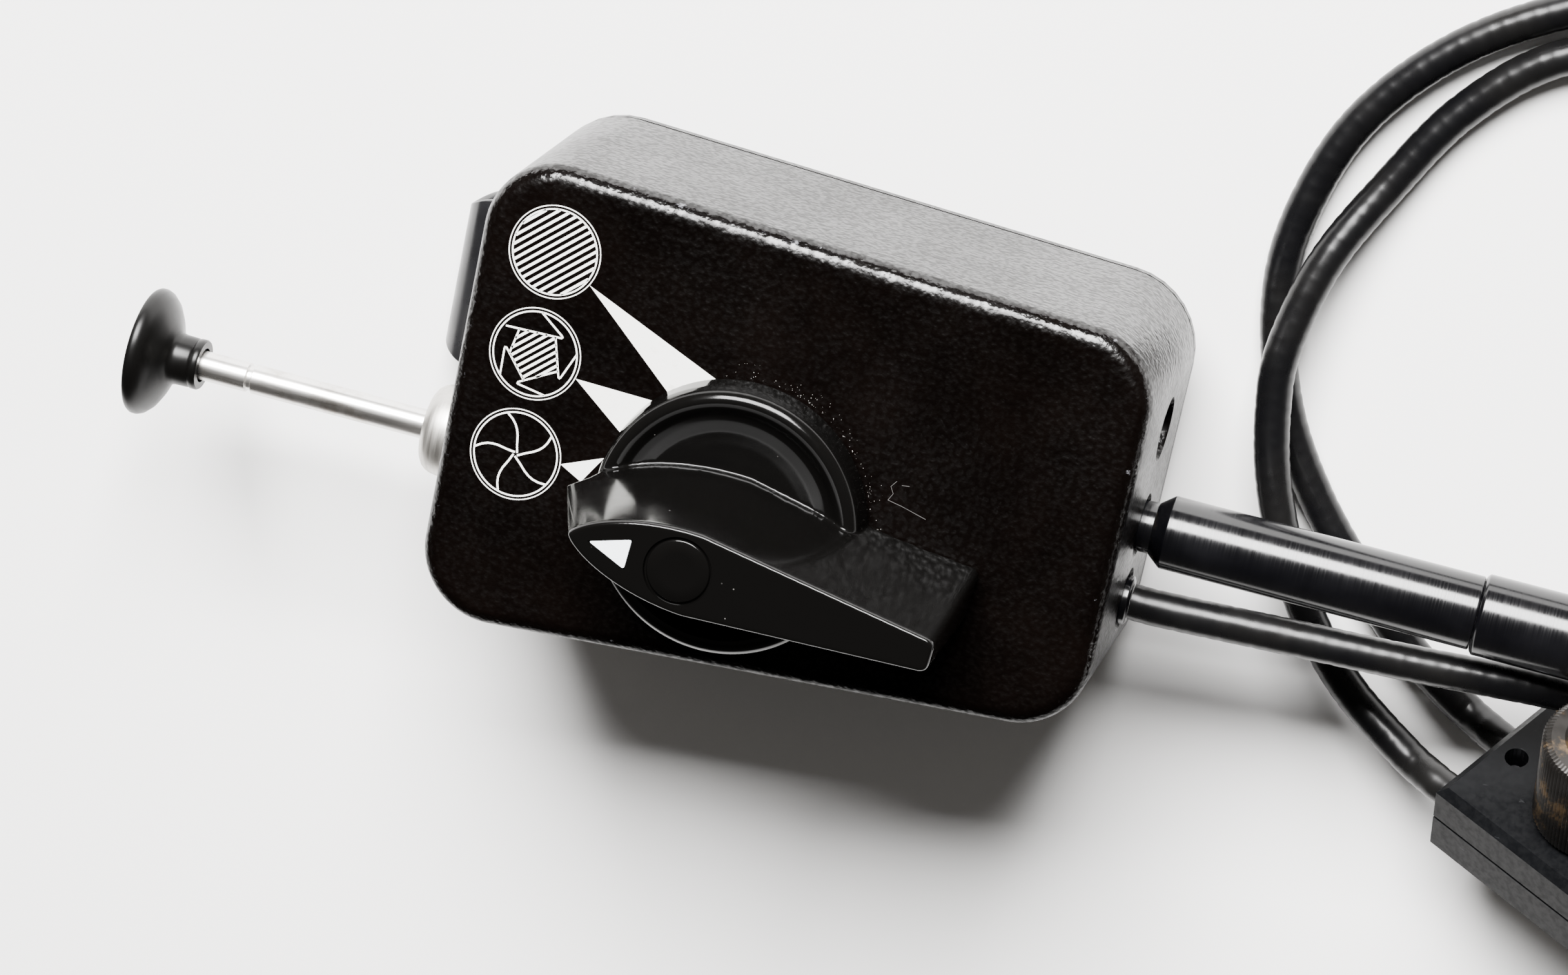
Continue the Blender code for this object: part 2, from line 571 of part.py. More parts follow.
def pinion_outline():
    """Gear outline with a gap between teeth facing +Y at rest, where the rack has a tooth."""
    points = []
    root, tip = PITCH_R - 0.95, PITCH_R + 0.6
    pitch = 2 * math.pi / PINION_TEETH
    for tooth in range(PINION_TEETH):
        middle = math.pi / 2 + (tooth + 0.5) * pitch
        for part, radius in ((-0.3, root), (-0.12, tip), (0.12, tip), (0.3, root)):
            angle = middle + part * pitch
            points.append((radius * math.cos(angle), radius * math.sin(angle)))
    return points


def detent_outline():
    """Disc with three shallow notches, one for each position of the lever."""
    count, radius = 72, 9.0
    points = []
    for i in range(count):
        angle = 2 * math.pi * i / count
        depth = 0.0
        for position in range(3):
            away = (angle - (math.pi + position * SELECTOR_STEP) + math.pi) % (2 * math.pi) - math.pi
            depth = max(depth, 0.8 * math.exp(-(away / 0.09) ** 2))
        points.append(((radius - depth) * math.cos(angle), (radius - depth) * math.sin(angle)))
    return points


def build_selector_seat(mats):
    place = (KNOB_X, KNOB_Y, 0)
    bushing = ((33.4, 6.0), (35.9, 6.0), (35.9, 4.0), (38.3, 4.0), (38.3, SHAFT_R + 0.15),
               (33.4, SHAFT_R + 0.15))
    finish("shaft_bushing", turned_ring(bushing, place, (0, 0, 1), 32), mats["brass"])
    ball = bmesh.new()
    bmesh.ops.create_icosphere(ball, subdivisions=2, radius=1.0)
    bmesh.ops.translate(ball, vec=(KNOB_X - 10.3, KNOB_Y, 31.4), verts=ball.verts)
    finish("detent_ball", ball, mats["steel"])
    spring = box((-15.9, -17.5, 29.9), (-15.5, -1.5, 32.9))
    leaf = finish("detent_spring", spring, mats["steel"])
    block = finish("detent_block", box((-19.2, -18.5, 29.5), (-16.2, -12.5, 35.9)), mats["brass"])
    hole = bmesh.new()
    loft(hole, [[(x, -15.3 + a, 31.4 + b) for a, b, _ in circle(1.1, 0, 16)] for x in (-18.4, -14.0)])
    tool = cutter("detent_hole", hole)
    boolean(leaf, tool)
    boolean(block, tool)
    screw = turned(((-18.1, 0.8), (-15.2, 0.8), (-15.2, 1.6), (-14.4, 1.6), (-14.2, 1.3)),
                   (0, -15.3, 31.4), (1, 0, 0), 16)
    finish("detent_screw", screw, mats["screw"])


# ---------------------------------------------------------------- aperture rack
RACK_X = (-22.0, 12.0)
RACK_PITCH = math.pi * TOOTH_MODULE


def rack_outline():
    """Toothed bar; a tooth stands opposite the pinion's axis at rest."""
    pitch_y = KNOB_Y + PITCH_R
    root, tip, back = pitch_y + 0.95, pitch_y - 0.6, pitch_y + 3.8
    outline = [(RACK_X[1], root), (RACK_X[1], back), (RACK_X[0], back), (RACK_X[0], root)]
    for tooth in range(-6, 5):
        middle = KNOB_X + tooth * RACK_PITCH
        for part, y in ((-0.3, root), (-0.12, tip), (0.12, tip), (0.3, root)):
            outline.append((middle + part * RACK_PITCH, y))
    return outline


def build_rack(mats, joint):
    finish("aperture_rack", extruded(rack_outline(), *PINION_Z), mats["brass"], joint)
    carriage = box((7.0, -3.9, PORT_Z - 2.6), (15.0, 3.4, PINION_Z[0] - GAP))
    finish("aperture_carriage", carriage, mats["brass"], joint)
    wire = ((15.3, WIRE_R), (33.0, WIRE_R), (33.3, 0.3))
    finish("aperture_wire", turned(wire, (0, APERTURE_Y, PORT_Z), (1, 0, 0), 12), mats["steel"], joint)


def build_rack_guide(mats):
    low = KNOB_Y + PITCH_R + 3.8 + GAP
    outline = ((low, 25.4), (low + 1.6, 25.4), (low + 1.6, 34.4), (low + 5.0, 34.4), (low + 5.0, 35.9),
               (low, 35.9))
    guide = finish("rack_guide", extruded(outline, -24.0, 20.0, "X"), mats["steel"])
    return guide


# ---------------------------------------------------------------- coupling block
def block_outline(inset=0.0):
    return ((inset, inset), (BLOCK_LENGTH - inset, inset),
            (BLOCK_LENGTH - inset, BLOCK_WIDTH - inset), (inset, BLOCK_WIDTH - inset))


STUD = (14.0, 9.0)
BLOCK_SCREWS = ((3.2, 9.2), (24.4, 9.0))
SLOT_X = (7.0, 24.0)
SLOT_HALF = 1.4
LUG_X = (8.0, 11.0)
LUG_HALF = 1.0


def build_block(mats):
    chamfer = 0.9
    low_edge = 0.3
    lower = bmesh.new()
    loft(lower, [[(x, y, z) for x, y in block_outline(inset)]
                 for inset, z in ((low_edge, 0.0), (0.0, low_edge), (0.0, BLOCK_SPLIT))])
    lower_plate = finish("block_lower_plate", lower, mats["block"], None, BLOCK)
    upper = bmesh.new()
    loft(upper, [[(x, y, z) for x, y in block_outline(inset)] for inset, z in (
        (0.0, BLOCK_SPLIT + GAP), (0.0, BLOCK_T - chamfer), (chamfer, BLOCK_T))])
    upper_plate = finish("block_upper_plate", upper, mats["block"], None, BLOCK)
    holes = bmesh.new()
    part_ring(holes, STUD, STUD_R + GAP, -1.0, BLOCK_T + 1.0, 28)
    for spot in BLOCK_SCREWS:
        part_ring(holes, spot, 1.3, 1.6, BLOCK_T + 1.0, 20)
    tool = cutter("block_round_holes", holes, None, BLOCK)
    boolean(upper_plate, tool)
    boolean(lower_plate, tool)
    slots = bmesh.new()
    for y in (LUG_RELEASE, LUG_APERTURE):
        box((SLOT_X[0], y - SLOT_HALF, -1.0), (SLOT_X[1], y + SLOT_HALF, BLOCK_SPLIT + 1.0), slots)
    for x, y in BLOCK_SCREWS:
        part_ring(slots, (x, y), 2.1, -1.0, 1.7, 20)
    boolean(lower_plate, cutter("block_slots", slots, None, BLOCK))
    for number, (x, y) in enumerate(BLOCK_SCREWS, 1):
        profile = ((0.2, 1.7), (1.4, 1.7), (1.4, 1.0), (7.4, 1.0), (7.8, 0.7))
        finish(f"block_screw_{number}", turned(profile, (x, y, 0), (0, 0, 1), 20), mats["screw"], None, BLOCK)
    for number, y in enumerate((ENTRY_RELEASE, ENTRY_APERTURE), 1):
        profile = ((FERRULE_END, 2.1), (-0.9, 2.3), (-0.3, 2.3), (-0.3, 0.9), (FERRULE_END, 0.9))
        ferrule = turned_ring(profile, (0, y, ENTRY_Z), (1, 0, 0), 28)
        finish(f"cable_ferrule_{number}", ferrule, mats["rubber"], None, BLOCK)


def build_thumbscrew(mats, joint):
    """Knurled head on the stud that draws the block onto its shutter."""
    count, flute = 120, 0.22
    head_low, head_high, head_r = BLOCK_T + GAP, BLOCK_T + GAP + 13.0, 6.4
    levels = ((STUD_END, STUD_R, 0.0), (head_low, STUD_R, 0.0), (head_low, head_r - 0.5, 0.0),
              (head_low + 0.5, head_r, flute), (head_high - 0.7, head_r, flute),
              (head_high, head_r - 0.8, 0.0), (head_high, 3.6, 0.0), (head_high - 0.8, 3.0, 0.0))
    rings = []
    for z, radius, depth in levels:
        ring = []
        for i in range(count):
            angle = 2 * math.pi * i / count
            r = radius - (depth if i % 3 == 0 else 0.0)
            ring.append((STUD[0] + r * math.cos(angle), STUD[1] + r * math.sin(angle), z))
        rings.append(ring)
    bm = bmesh.new()
    loft(bm, rings)
    finish("knurled_screw", bm, mats["knurl"], joint, BLOCK)


def build_lug(name, y, mats, joint):
    lug = box((LUG_X[0], y - LUG_HALF, -2.4), (LUG_X[1], y + LUG_HALF, BLOCK_SPLIT - 0.2))
    finish(name, lug, mats["steel"], joint, BLOCK)


# ---------------------------------------------------------------- cables
def block_point(x, y, z):
    return BLOCK @ Vector((x, y, z))


def smooth_route(points, step):
    """Read a Catmull-Rom curve through the route's points at an even step, on or above the surface."""
    points = [Vector(p) for p in points]
    line = [2 * points[0] - points[1]] + points + [2 * points[-1] - points[-2]]
    dense = []
    for i in range(1, len(line) - 2):
        a, b, c, d = line[i - 1:i + 3]
        for k in range(24):
            t = k / 24
            dense.append(0.5 * (2 * b + (c - a) * t + (2 * a - 5 * b + 4 * c - d) * t * t
                                + (3 * b - a - 3 * c + d) * t ** 3))
    dense.append(points[-1])
    total = sum((q - p).length for p, q in zip(dense, dense[1:]))
    count = max(2, round(total / step))
    wanted = [total * i / count for i in range(count + 1)]
    result, run, index = [], 0.0, 0
    for p, q in zip(dense, dense[1:]):
        length = (q - p).length
        while index < count and run + length >= wanted[index] - 1e-9:
            result.append(p + (q - p) * ((wanted[index] - run) / length))
            index += 1
        run += length
    result.append(dense[-1])
    return [Vector((p.x, p.y, max(p.z, CABLE_R))) for p in result]


def build_cable(name, route, entry_y, mat):
    ends = [block_point(-8.0, entry_y + 0.4, ENTRY_Z), block_point(FERRULE_END - 2 * GAP, entry_y, ENTRY_Z)]
    points = smooth_route(tuple(route) + tuple(tuple(p) for p in ends), CABLE_STEP)
    curve = bpy.data.curves.new(name, "CURVE")
    curve.dimensions = "3D"
    curve.bevel_depth = CABLE_R * MM
    curve.bevel_resolution = 2
    curve.use_fill_caps = True
    spline = curve.splines.new("POLY")
    spline.points.add(len(points) - 1)
    for point, place in zip(spline.points, points):
        point.co = (*(place * MM), 1.0)
    curve.materials.append(mat)
    obj = bpy.data.objects.new(name, curve)
    bpy.context.scene.collection.objects.link(obj)


def build():
    clear_scene()
    mats = {
        "paint": material("black_wrinkle_paint", (0.016, 0.016, 0.017), 0.42),
        "gloss": material("black_moulding", (0.008, 0.008, 0.009), 0.08),
        "clip": material("clip_lacquer", (0.02, 0.02, 0.022), 0.28),
        "anodised": material("black_anodised", (0.012, 0.012, 0.013), 0.16, 0.6),
        "block": material("grey_black_anodised", (0.028, 0.03, 0.034), 0.4, 0.5),
        "knurl": material("worn_knurl", (0.05, 0.042, 0.035), 0.35, 0.7),
        "rubber": material("sheath_rubber", (0.014, 0.014, 0.015), 0.45),
        "sheath": material("cable_sheath", (0.015, 0.015, 0.016), 0.35),
        "steel": material("polished_steel", (0.72, 0.72, 0.72), 0.16, 1.0),
        "nickel": material("satin_nickel", (0.62, 0.6, 0.56), 0.36, 1.0),
        "brass": material("brass", (0.68, 0.5, 0.24), 0.3, 1.0),
        "screw": material("black_screw", (0.06, 0.06, 0.065), 0.3, 1.0),
        "white": material("white_inlay", (0.86, 0.88, 0.9), 0.35),
    }
    plunger = pivot("plunger_axis", (-60.0, PLUNGER_Y, PORT_Z))
    selector = pivot("selector_axis", (KNOB_X, KNOB_Y, FACE_Z))
    rack = pivot("rack_axis", (0.0, KNOB_Y + PITCH_R, PINION_Z[0]))
    thumb = pivot("thumbscrew_axis", block_point(STUD[0], STUD[1], BLOCK_T))
    release_lug = pivot("release_lug_axis", block_point(LUG_X[0], LUG_RELEASE, 0.0))
    aperture_lug = pivot("aperture_lug_axis", block_point(LUG_X[0], LUG_APERTURE, 0.0))
    build_cover(mats["paint"])
    build_back(mats)
    build_clip(mats)
    build_left_fittings(mats)
    build_plunger(mats, plunger)
    build_release_guide(mats)
    build_ports(mats)
    build_knob(mats, selector)
    build_shaft(mats, selector)
    build_selector_seat(mats)
    build_rack(mats, rack)
    build_rack_guide(mats)
    build_block(mats)
    build_thumbscrew(mats, thumb)
    build_lug("release_lug", LUG_RELEASE, mats, release_lug)
    build_lug("aperture_lug", LUG_APERTURE, mats, aperture_lug)
    build_cable("release_cable", RELEASE_ROUTE, ENTRY_RELEASE, mats["sheath"])
    build_cable("aperture_cable", APERTURE_ROUTE, ENTRY_APERTURE, mats["sheath"])
    bpy.context.view_layer.update()


build()
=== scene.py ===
"""Looks of the two-cable shutter release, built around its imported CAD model.

Lengths below are in millimetres in the shared frame: X from the plunger to the cable outlets,
Y across the box, Z up from the surface. They are turned into metres when a mesh is made.
"""
import json
import math
import random

import bmesh
import bpy
from mathutils import Matrix, Vector


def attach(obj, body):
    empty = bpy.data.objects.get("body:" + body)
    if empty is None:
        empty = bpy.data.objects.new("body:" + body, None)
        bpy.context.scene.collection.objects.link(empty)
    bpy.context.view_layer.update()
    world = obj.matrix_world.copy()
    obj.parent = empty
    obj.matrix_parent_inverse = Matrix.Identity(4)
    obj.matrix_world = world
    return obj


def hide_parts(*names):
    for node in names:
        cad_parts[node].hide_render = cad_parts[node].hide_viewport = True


MM = 0.001
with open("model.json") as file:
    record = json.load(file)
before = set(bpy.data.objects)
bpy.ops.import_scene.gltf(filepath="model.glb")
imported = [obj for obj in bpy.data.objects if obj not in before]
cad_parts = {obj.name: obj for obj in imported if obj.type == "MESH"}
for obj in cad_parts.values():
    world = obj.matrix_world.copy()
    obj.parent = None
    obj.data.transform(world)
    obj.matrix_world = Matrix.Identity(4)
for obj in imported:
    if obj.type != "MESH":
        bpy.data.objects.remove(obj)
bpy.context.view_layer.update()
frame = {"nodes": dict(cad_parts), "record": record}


# ---------------------------------------------------------------- camera
def make_camera():
    right = Vector((0.9545, 0.2016, -0.22)).normalized()
    forward = Vector((-0.1585, -0.2822, -0.9462)).normalized()
    up = right.cross(forward).normalized()
    right = forward.cross(up)
    data = bpy.data.cameras.new("camera")
    data.lens = 95.95
    data.sensor_width = 36.0
    data.clip_start = 0.01
    camera = bpy.data.objects.new("camera", data)
    camera.matrix_world = Matrix((right, up, -forward)).transposed().to_4x4()
    camera.location = Vector((70.1, 121.0, 451.0)) * MM
    bpy.context.scene.collection.objects.link(camera)
    bpy.context.scene.camera = camera


# ---------------------------------------------------------------- mesh helpers
def raw_object(name, bm, place=None):
    """Turn a bmesh in millimetres into an object in metres."""
    if place is not None:
        bmesh.ops.transform(bm, matrix=place, verts=bm.verts)
    bmesh.ops.scale(bm, vec=(MM, MM, MM), verts=bm.verts)
    bmesh.ops.recalc_face_normals(bm, faces=bm.faces)
    mesh = bpy.data.meshes.new(name)
    bm.to_mesh(mesh)
    bm.free()
    obj = bpy.data.objects.new(name, mesh)
    bpy.context.scene.collection.objects.link(obj)
    return obj


def apply_modifiers(obj):
    graph = bpy.context.evaluated_depsgraph_get()
    mesh = bpy.data.meshes.new_from_object(obj.evaluated_get(graph))
    obj.modifiers.clear()
    obj.data = mesh


def combine(obj, bm, operation="DIFFERENCE"):
    """Cut a bmesh out of an object, or join it on."""
    tool = raw_object(obj.name + "_tool", bm)
    mod = obj.modifiers.new("tool", "BOOLEAN")
    mod.operation = operation
    mod.solver = "EXACT"
    mod.object = tool
    apply_modifiers(obj)
    bpy.data.objects.remove(tool)


def dress(obj, mat, body, replaced=(), sharp=40.0):
    """Shade an object smoothly, paint it and hang it on its body."""
    obj.data.materials.clear()
    obj.data.materials.append(mat)
    for polygon in obj.data.polygons:
        polygon.use_smooth = True
        polygon.material_index = 0
    obj.data.set_sharp_from_angle(angle=math.radians(sharp))
    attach(obj, body)
    if replaced:
        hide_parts(*replaced)
    return obj


def loft(bm, rings, loop=False):
    """Skin a row of rings of equal count, closed at both ends or joined end to start."""
    rows = [[bm.verts.new(point) for point in ring] for ring in rings]
    pairs = list(zip(rows, rows[1:]))
    if loop:
        pairs.append((rows[-1], rows[0]))
    for low, high in pairs:
        for i in range(len(low)):
            j = (i + 1) % len(low)
            bm.faces.new((low[i], low[j], high[j], high[i]))
    if not loop:
        bm.faces.new(rows[0])
        bm.faces.new(rows[-1])


def circle(radius, z, count):
    return [(radius * math.cos(2 * math.pi * i / count), radius * math.sin(2 * math.pi * i / count), z)
            for i in range(count)]


def rounded(points, radius, steps=4, closed=False):
    """Replace the corners of a flat line by small arcs."""
    result = []
    for i, point in enumerate(points):
        if not closed and i in (0, len(points) - 1):
            result.append(tuple(point))
            continue
        corner = Vector(point)
        before = Vector(points[i - 1]) - corner
        after = Vector(points[(i + 1) % len(points)]) - corner
        start = corner + before.normalized() * min(radius, before.length * 0.45)
        end = corner + after.normalized() * min(radius, after.length * 0.45)
        for k in range(steps + 1):
            t = k / steps
            result.append(tuple(start * (1 - t) ** 2 + corner * 2 * t * (1 - t) + end * t * t))
    return result


def along(axis):
    return Vector((0, 0, 1)).rotation_difference(Vector(axis)).to_matrix().to_4x4()


def lathe(profile, base=(0, 0, 0), axis=(0, 0, 1), count=96, hollow=False):
    """Solid of revolution from (distance along the axis, radius) pairs."""
    bm = bmesh.new()
    loft(bm, [circle(radius, z, count) for z, radius in profile], loop=hollow)
    bmesh.ops.transform(bm, matrix=Matrix.Translation(Vector(base)) @ along(axis), verts=bm.verts)
    return bm


def prism(outline, low, high):
    bm = bmesh.new()
    loft(bm, [[(x, y, z) for x, y in outline] for z in (low, high)])
    return bm


# ---------------------------------------------------------------- materials
class Paint:
    """A Principled material whose textures read the piece's own coordinates, in metres."""

    def __init__(self, name, color, roughness, metallic=0.0, **sockets):
        self.mat = bpy.data.materials.new(name)
        self.mat.use_nodes = True
        self.tree = self.mat.node_tree
        self.shader = self.tree.nodes["Principled BSDF"]
        self.set("Base Color", (*color, 1.0))
        self.set("Roughness", roughness)
        self.set("Metallic", metallic)
        for socket, value in sockets.items():
            self.set(socket.replace("_", " "), value)
        self.coords = self.tree.nodes.new("ShaderNodeTexCoord").outputs["Object"]

    def set(self, socket, value):
        self.shader.inputs[socket].default_value = value

    def feed(self, socket, output):
        self.tree.links.new(output, self.shader.inputs[socket])

    def node(self, kind, **values):
        made = self.tree.nodes.new(kind)
        for key, value in values.items():
            setattr(made, key, value)
        return made

    def plug(self, node, **inputs):
        """Set or link a node's inputs, by name or as i0, i1 and so on by number."""
        for key, value in inputs.items():
            socket = node.inputs[int(key[1:])] if key[0] == "i" and key[1:].isdigit() else node.inputs[key]
            if isinstance(value, bpy.types.NodeSocket):
                self.tree.links.new(value, socket)
            else:
                socket.default_value = value
        return node

    def stretched(self, x, y, z):
        """The piece's coordinates, scaled by a different amount along each axis."""
        node = self.node("ShaderNodeVectorMath", operation="MULTIPLY")
        return self.plug(node, i0=self.coords, i1=(x, y, z)).outputs[0]

    def noise(self, scale, detail=4.0, rough=0.5, vector=None):
        node = self.node("ShaderNodeTexNoise")
        self.plug(node, Vector=vector or self.coords, Scale=scale, Detail=detail, Roughness=rough)
        return node.outputs["Fac"]

    def cells(self, scale, feature="SMOOTH_F1"):
        node = self.node("ShaderNodeTexVoronoi", feature=feature)
        return self.plug(node, Vector=self.coords, Scale=scale).outputs["Distance"]

    def ramp(self, value, low, high, out_low=0.0, out_high=1.0):
        """Soft step: out_low below low, out_high above high."""
        node = self.node("ShaderNodeMapRange", interpolation_type="SMOOTHSTEP")
        self.plug(node, i0=value, i1=low, i2=high, i3=out_low, i4=out_high)
        return node.outputs[0]

    def math(self, operation, a, b):
        return self.plug(self.node("ShaderNodeMath", operation=operation), i0=a, i1=b).outputs[0]

    def mix(self, factor, a, b):
        node = self.node("ShaderNodeMix", data_type="RGBA")
        self.plug(node, i0=factor)
        for socket, value in ((node.inputs[6], a), (node.inputs[7], b)):
            if isinstance(value, bpy.types.NodeSocket):
                self.tree.links.new(value, socket)
            else:
                socket.default_value = (*value, 1.0)
        return node.outputs[2]

    def bump(self, height, depth_mm, strength):
        node = self.node("ShaderNodeBump")
        self.plug(node, Height=height, Distance=depth_mm * MM, Strength=strength)
        self.feed("Normal", node.outputs["Normal"])

    def facing(self, axis):
        """How far the surface faces along one of the world's axes."""
        normal = self.node("ShaderNodeNewGeometry").outputs["Normal"]
        return self.plug(self.node("ShaderNodeSeparateXYZ"), Vector=normal).outputs[axis]


def wrinkle_paint():
    p = Paint("wrinkle_paint", (0.001, 0.0007, 0.0006), 0.3)
    coarse = p.noise(1500.0, 2.0, 0.5)
    fine = p.cells(1900.0)
    height = p.math("ADD", coarse, p.math("MULTIPLY", fine, 0.7))
    p.bump(height, 0.07, 1.0)
    on_edge = p.math("MULTIPLY", p.ramp(p.facing("Z"), 0.25, 0.5), p.ramp(p.facing("Z"), 0.97, 0.85))
    chips = p.math("MULTIPLY", on_edge, p.ramp(p.noise(420.0, 6.0, 0.7), 0.63, 0.7))
    dirt = p.ramp(p.noise(90.0, 5.0, 0.6), 0.35, 0.75)
    base = p.mix(dirt, (0.0007, 0.0004, 0.0003), (0.0015, 0.0009, 0.0007))
    p.feed("Base Color", p.mix(chips, base, (0.12, 0.12, 0.13)))
    rough = p.ramp(p.noise(60.0, 4.0, 0.6), 0.3, 0.7, 0.27, 0.36)
    p.feed("Roughness", p.math("SUBTRACT", rough, p.math("MULTIPLY", on_edge, 0.13)))
    shine = p.ramp(height, 0.6, 0.95, 0.3, 0.1)
    upward = p.ramp(p.facing("Y"), -0.3, 0.3, 0.15, 1.0)
    shine = p.math("ADD", shine, p.math("MULTIPLY", on_edge, 0.1))
    p.feed("Specular IOR Level", p.math("MULTIPLY", upward, shine))
    return p.mat


def gloss_black(name="black_moulding", rough_low=0.09, rough_high=0.17):
    p = Paint(name, (0.0016, 0.0015, 0.0014), 0.1, Specular_IOR_Level=0.2)
    specks = p.ramp(p.cells(620.0, "F1"), 0.06, 0.035)
    specks = p.math("MULTIPLY", specks, p.ramp(p.noise(210.0, 2.0), 0.58, 0.64))
    p.feed("Base Color", p.mix(specks, (0.0016, 0.0015, 0.0014), (0.12, 0.115, 0.11)))
    rough = p.ramp(p.noise(130.0, 5.0, 0.65), 0.35, 0.75, rough_low, rough_high)
    p.feed("Roughness", p.math("ADD", rough, p.math("MULTIPLY", specks, 0.4)))
    p.bump(p.noise(260.0, 3.0, 0.5), 0.012, 0.22)
    return p.mat


def clip_lacquer():
    p = Paint("clip_lacquer", (0.02, 0.02, 0.022), 0.28)
    worn = p.ramp(p.noise(70.0, 5.0), 0.35, 0.7)
    p.feed("Base Color", p.mix(worn, (0.004, 0.004, 0.0045), (0.01, 0.01, 0.011)))
    p.feed("Roughness", p.ramp(p.noise(160.0, 4.0, 0.6), 0.3, 0.75, 0.2, 0.36))
    p.bump(p.noise(900.0, 3.0), 0.01, 0.4)
    return p.mat


def anodised():
    p = Paint("black_anodised", (0.002, 0.002, 0.0025), 0.1, Specular_IOR_Level=0.45)
    lines = p.noise(1.0, 2.0, 0.6, p.stretched(9000.0, 60.0, 60.0))
    worn = p.ramp(p.noise(110.0, 4.0), 0.4, 0.7)
    p.feed("Base Color", p.mix(worn, (0.0012, 0.0012, 0.0016), (0.003, 0.003, 0.0036)))
    p.feed("Roughness", p.ramp(lines, 0.3, 0.7, 0.14, 0.22))
    p.bump(lines, 0.004, 0.35)
    return p.mat


def block_finish():
    p = Paint("block_anodised", (0.002, 0.0022, 0.0028), 0.42, Specular_IOR_Level=0.08)
    grain = p.noise(1400.0, 4.0, 0.6)
    scratch = p.ramp(p.noise(1.0, 6.0, 0.7, p.stretched(500.0, 2600.0, 900.0)), 0.64, 0.72)
    base = p.mix(p.ramp(p.noise(120.0, 4.0), 0.3, 0.7), (0.001, 0.0011, 0.0014), (0.0018, 0.002, 0.0024))
    p.feed("Base Color", p.mix(p.math("MULTIPLY", scratch, 0.5), base, (0.03, 0.031, 0.033)))
    p.feed("Roughness", p.ramp(grain, 0.3, 0.7, 0.34, 0.5))
    p.bump(grain, 0.012, 0.5)
    return p.mat


def worn_knurl():
    p = Paint("worn_knurl", (0.03, 0.026, 0.023), 0.38, 0.6)
    wear = p.ramp(p.noise(300.0, 5.0, 0.65), 0.5, 0.66)
    p.feed("Base Color", p.mix(wear, (0.016, 0.0145, 0.013), (0.1, 0.066, 0.034)))
    p.feed("Roughness", p.ramp(p.noise(500.0, 4.0), 0.3, 0.7, 0.28, 0.5))
    p.bump(p.noise(1500.0, 3.0), 0.01, 0.5)
    return p.mat


def sheath(name, rough_low, rough_high):
    p = Paint(name, (0.003, 0.003, 0.0033), 0.35, Specular_IOR_Level=0.22)
    dusty = p.ramp(p.noise(90.0, 4.0), 0.35, 0.7)
    p.feed("Base Color", p.mix(dusty, (0.002, 0.002, 0.0023), (0.0045, 0.0043, 0.0041)))
    p.feed("Roughness", p.ramp(p.noise(400.0, 4.0, 0.6), 0.3, 0.7, rough_low, rough_high))
    p.bump(p.noise(1100.0, 3.0, 0.5), 0.01, 0.2)
    return p.mat


def metal(name, color, darker, rough_low, rough_high, grain):
    p = Paint(name, color, rough_low, 1.0)
    lines = p.noise(1.0, 3.0, 0.6, p.stretched(*grain))
    p.feed("Base Color", p.mix(p.ramp(p.noise(240.0, 5.0, 0.65), 0.45, 0.75), color, darker))
    p.feed("Roughness", p.ramp(lines, 0.3, 0.7, rough_low, rough_high))
    p.bump(lines, 0.003, 0.4)
    return p.mat


def ink(name, color, shade):
    p = Paint(name, color, 0.45)
    p.feed("Base Color", p.mix(p.ramp(p.noise(700.0, 5.0, 0.7), 0.55, 0.8), color, shade))
    p.feed("Roughness", p.ramp(p.noise(500.0, 3.0), 0.3, 0.7, 0.36, 0.5))
    p.bump(p.noise(950.0, 3.0, 0.55), 0.03, 0.6)
    return p.mat


# how far the grain of a metal is squeezed along X, Y and Z
TURNED, DRAWN, UPRIGHT = (2500.0, 90.0, 90.0), (60.0, 900.0, 900.0), (900.0, 900.0, 90.0)

MATS = {
    "wrinkle_paint": wrinkle_paint(),
    "black_moulding": gloss_black(),
    "clip_lacquer": clip_lacquer(),
    "black_anodised": anodised(),
    "block_anodised": block_finish(),
    "worn_knurl": worn_knurl(),
    "sheath_rubber": sheath("sheath_rubber", 0.4, 0.55),
    "cable_sheath": sheath("cable_sheath", 0.25, 0.33),
    "steel": metal("steel", (0.82, 0.8, 0.77), (0.5, 0.46, 0.41), 0.24, 0.36, DRAWN),
    "satin_nickel": metal("satin_nickel", (0.62, 0.6, 0.56), (0.48, 0.46, 0.42), 0.36, 0.5, TURNED),
    "brass": metal("brass", (0.78, 0.62, 0.36), (0.5, 0.36, 0.18), 0.22, 0.38, TURNED),
    "black_screw": metal("black_screw", (0.07, 0.07, 0.075), (0.03, 0.03, 0.03), 0.25, 0.4, UPRIGHT),
    "white_inlay": ink("white_inlay", (0.86, 0.9, 0.94), (0.74, 0.78, 0.82)),
}
SATIN_BLACK = gloss_black("satin_moulding", 0.28, 0.38)
WHITE_INK = ink("white_ink", (0.86, 0.86, 0.82), (0.66, 0.65, 0.6))
SCRATCH = ink("bare_scratch", (0.1, 0.097, 0.094), (0.04, 0.04, 0.04))
DUST = ink("pale_dust", (0.4, 0.39, 0.37), (0.2, 0.2, 0.19))

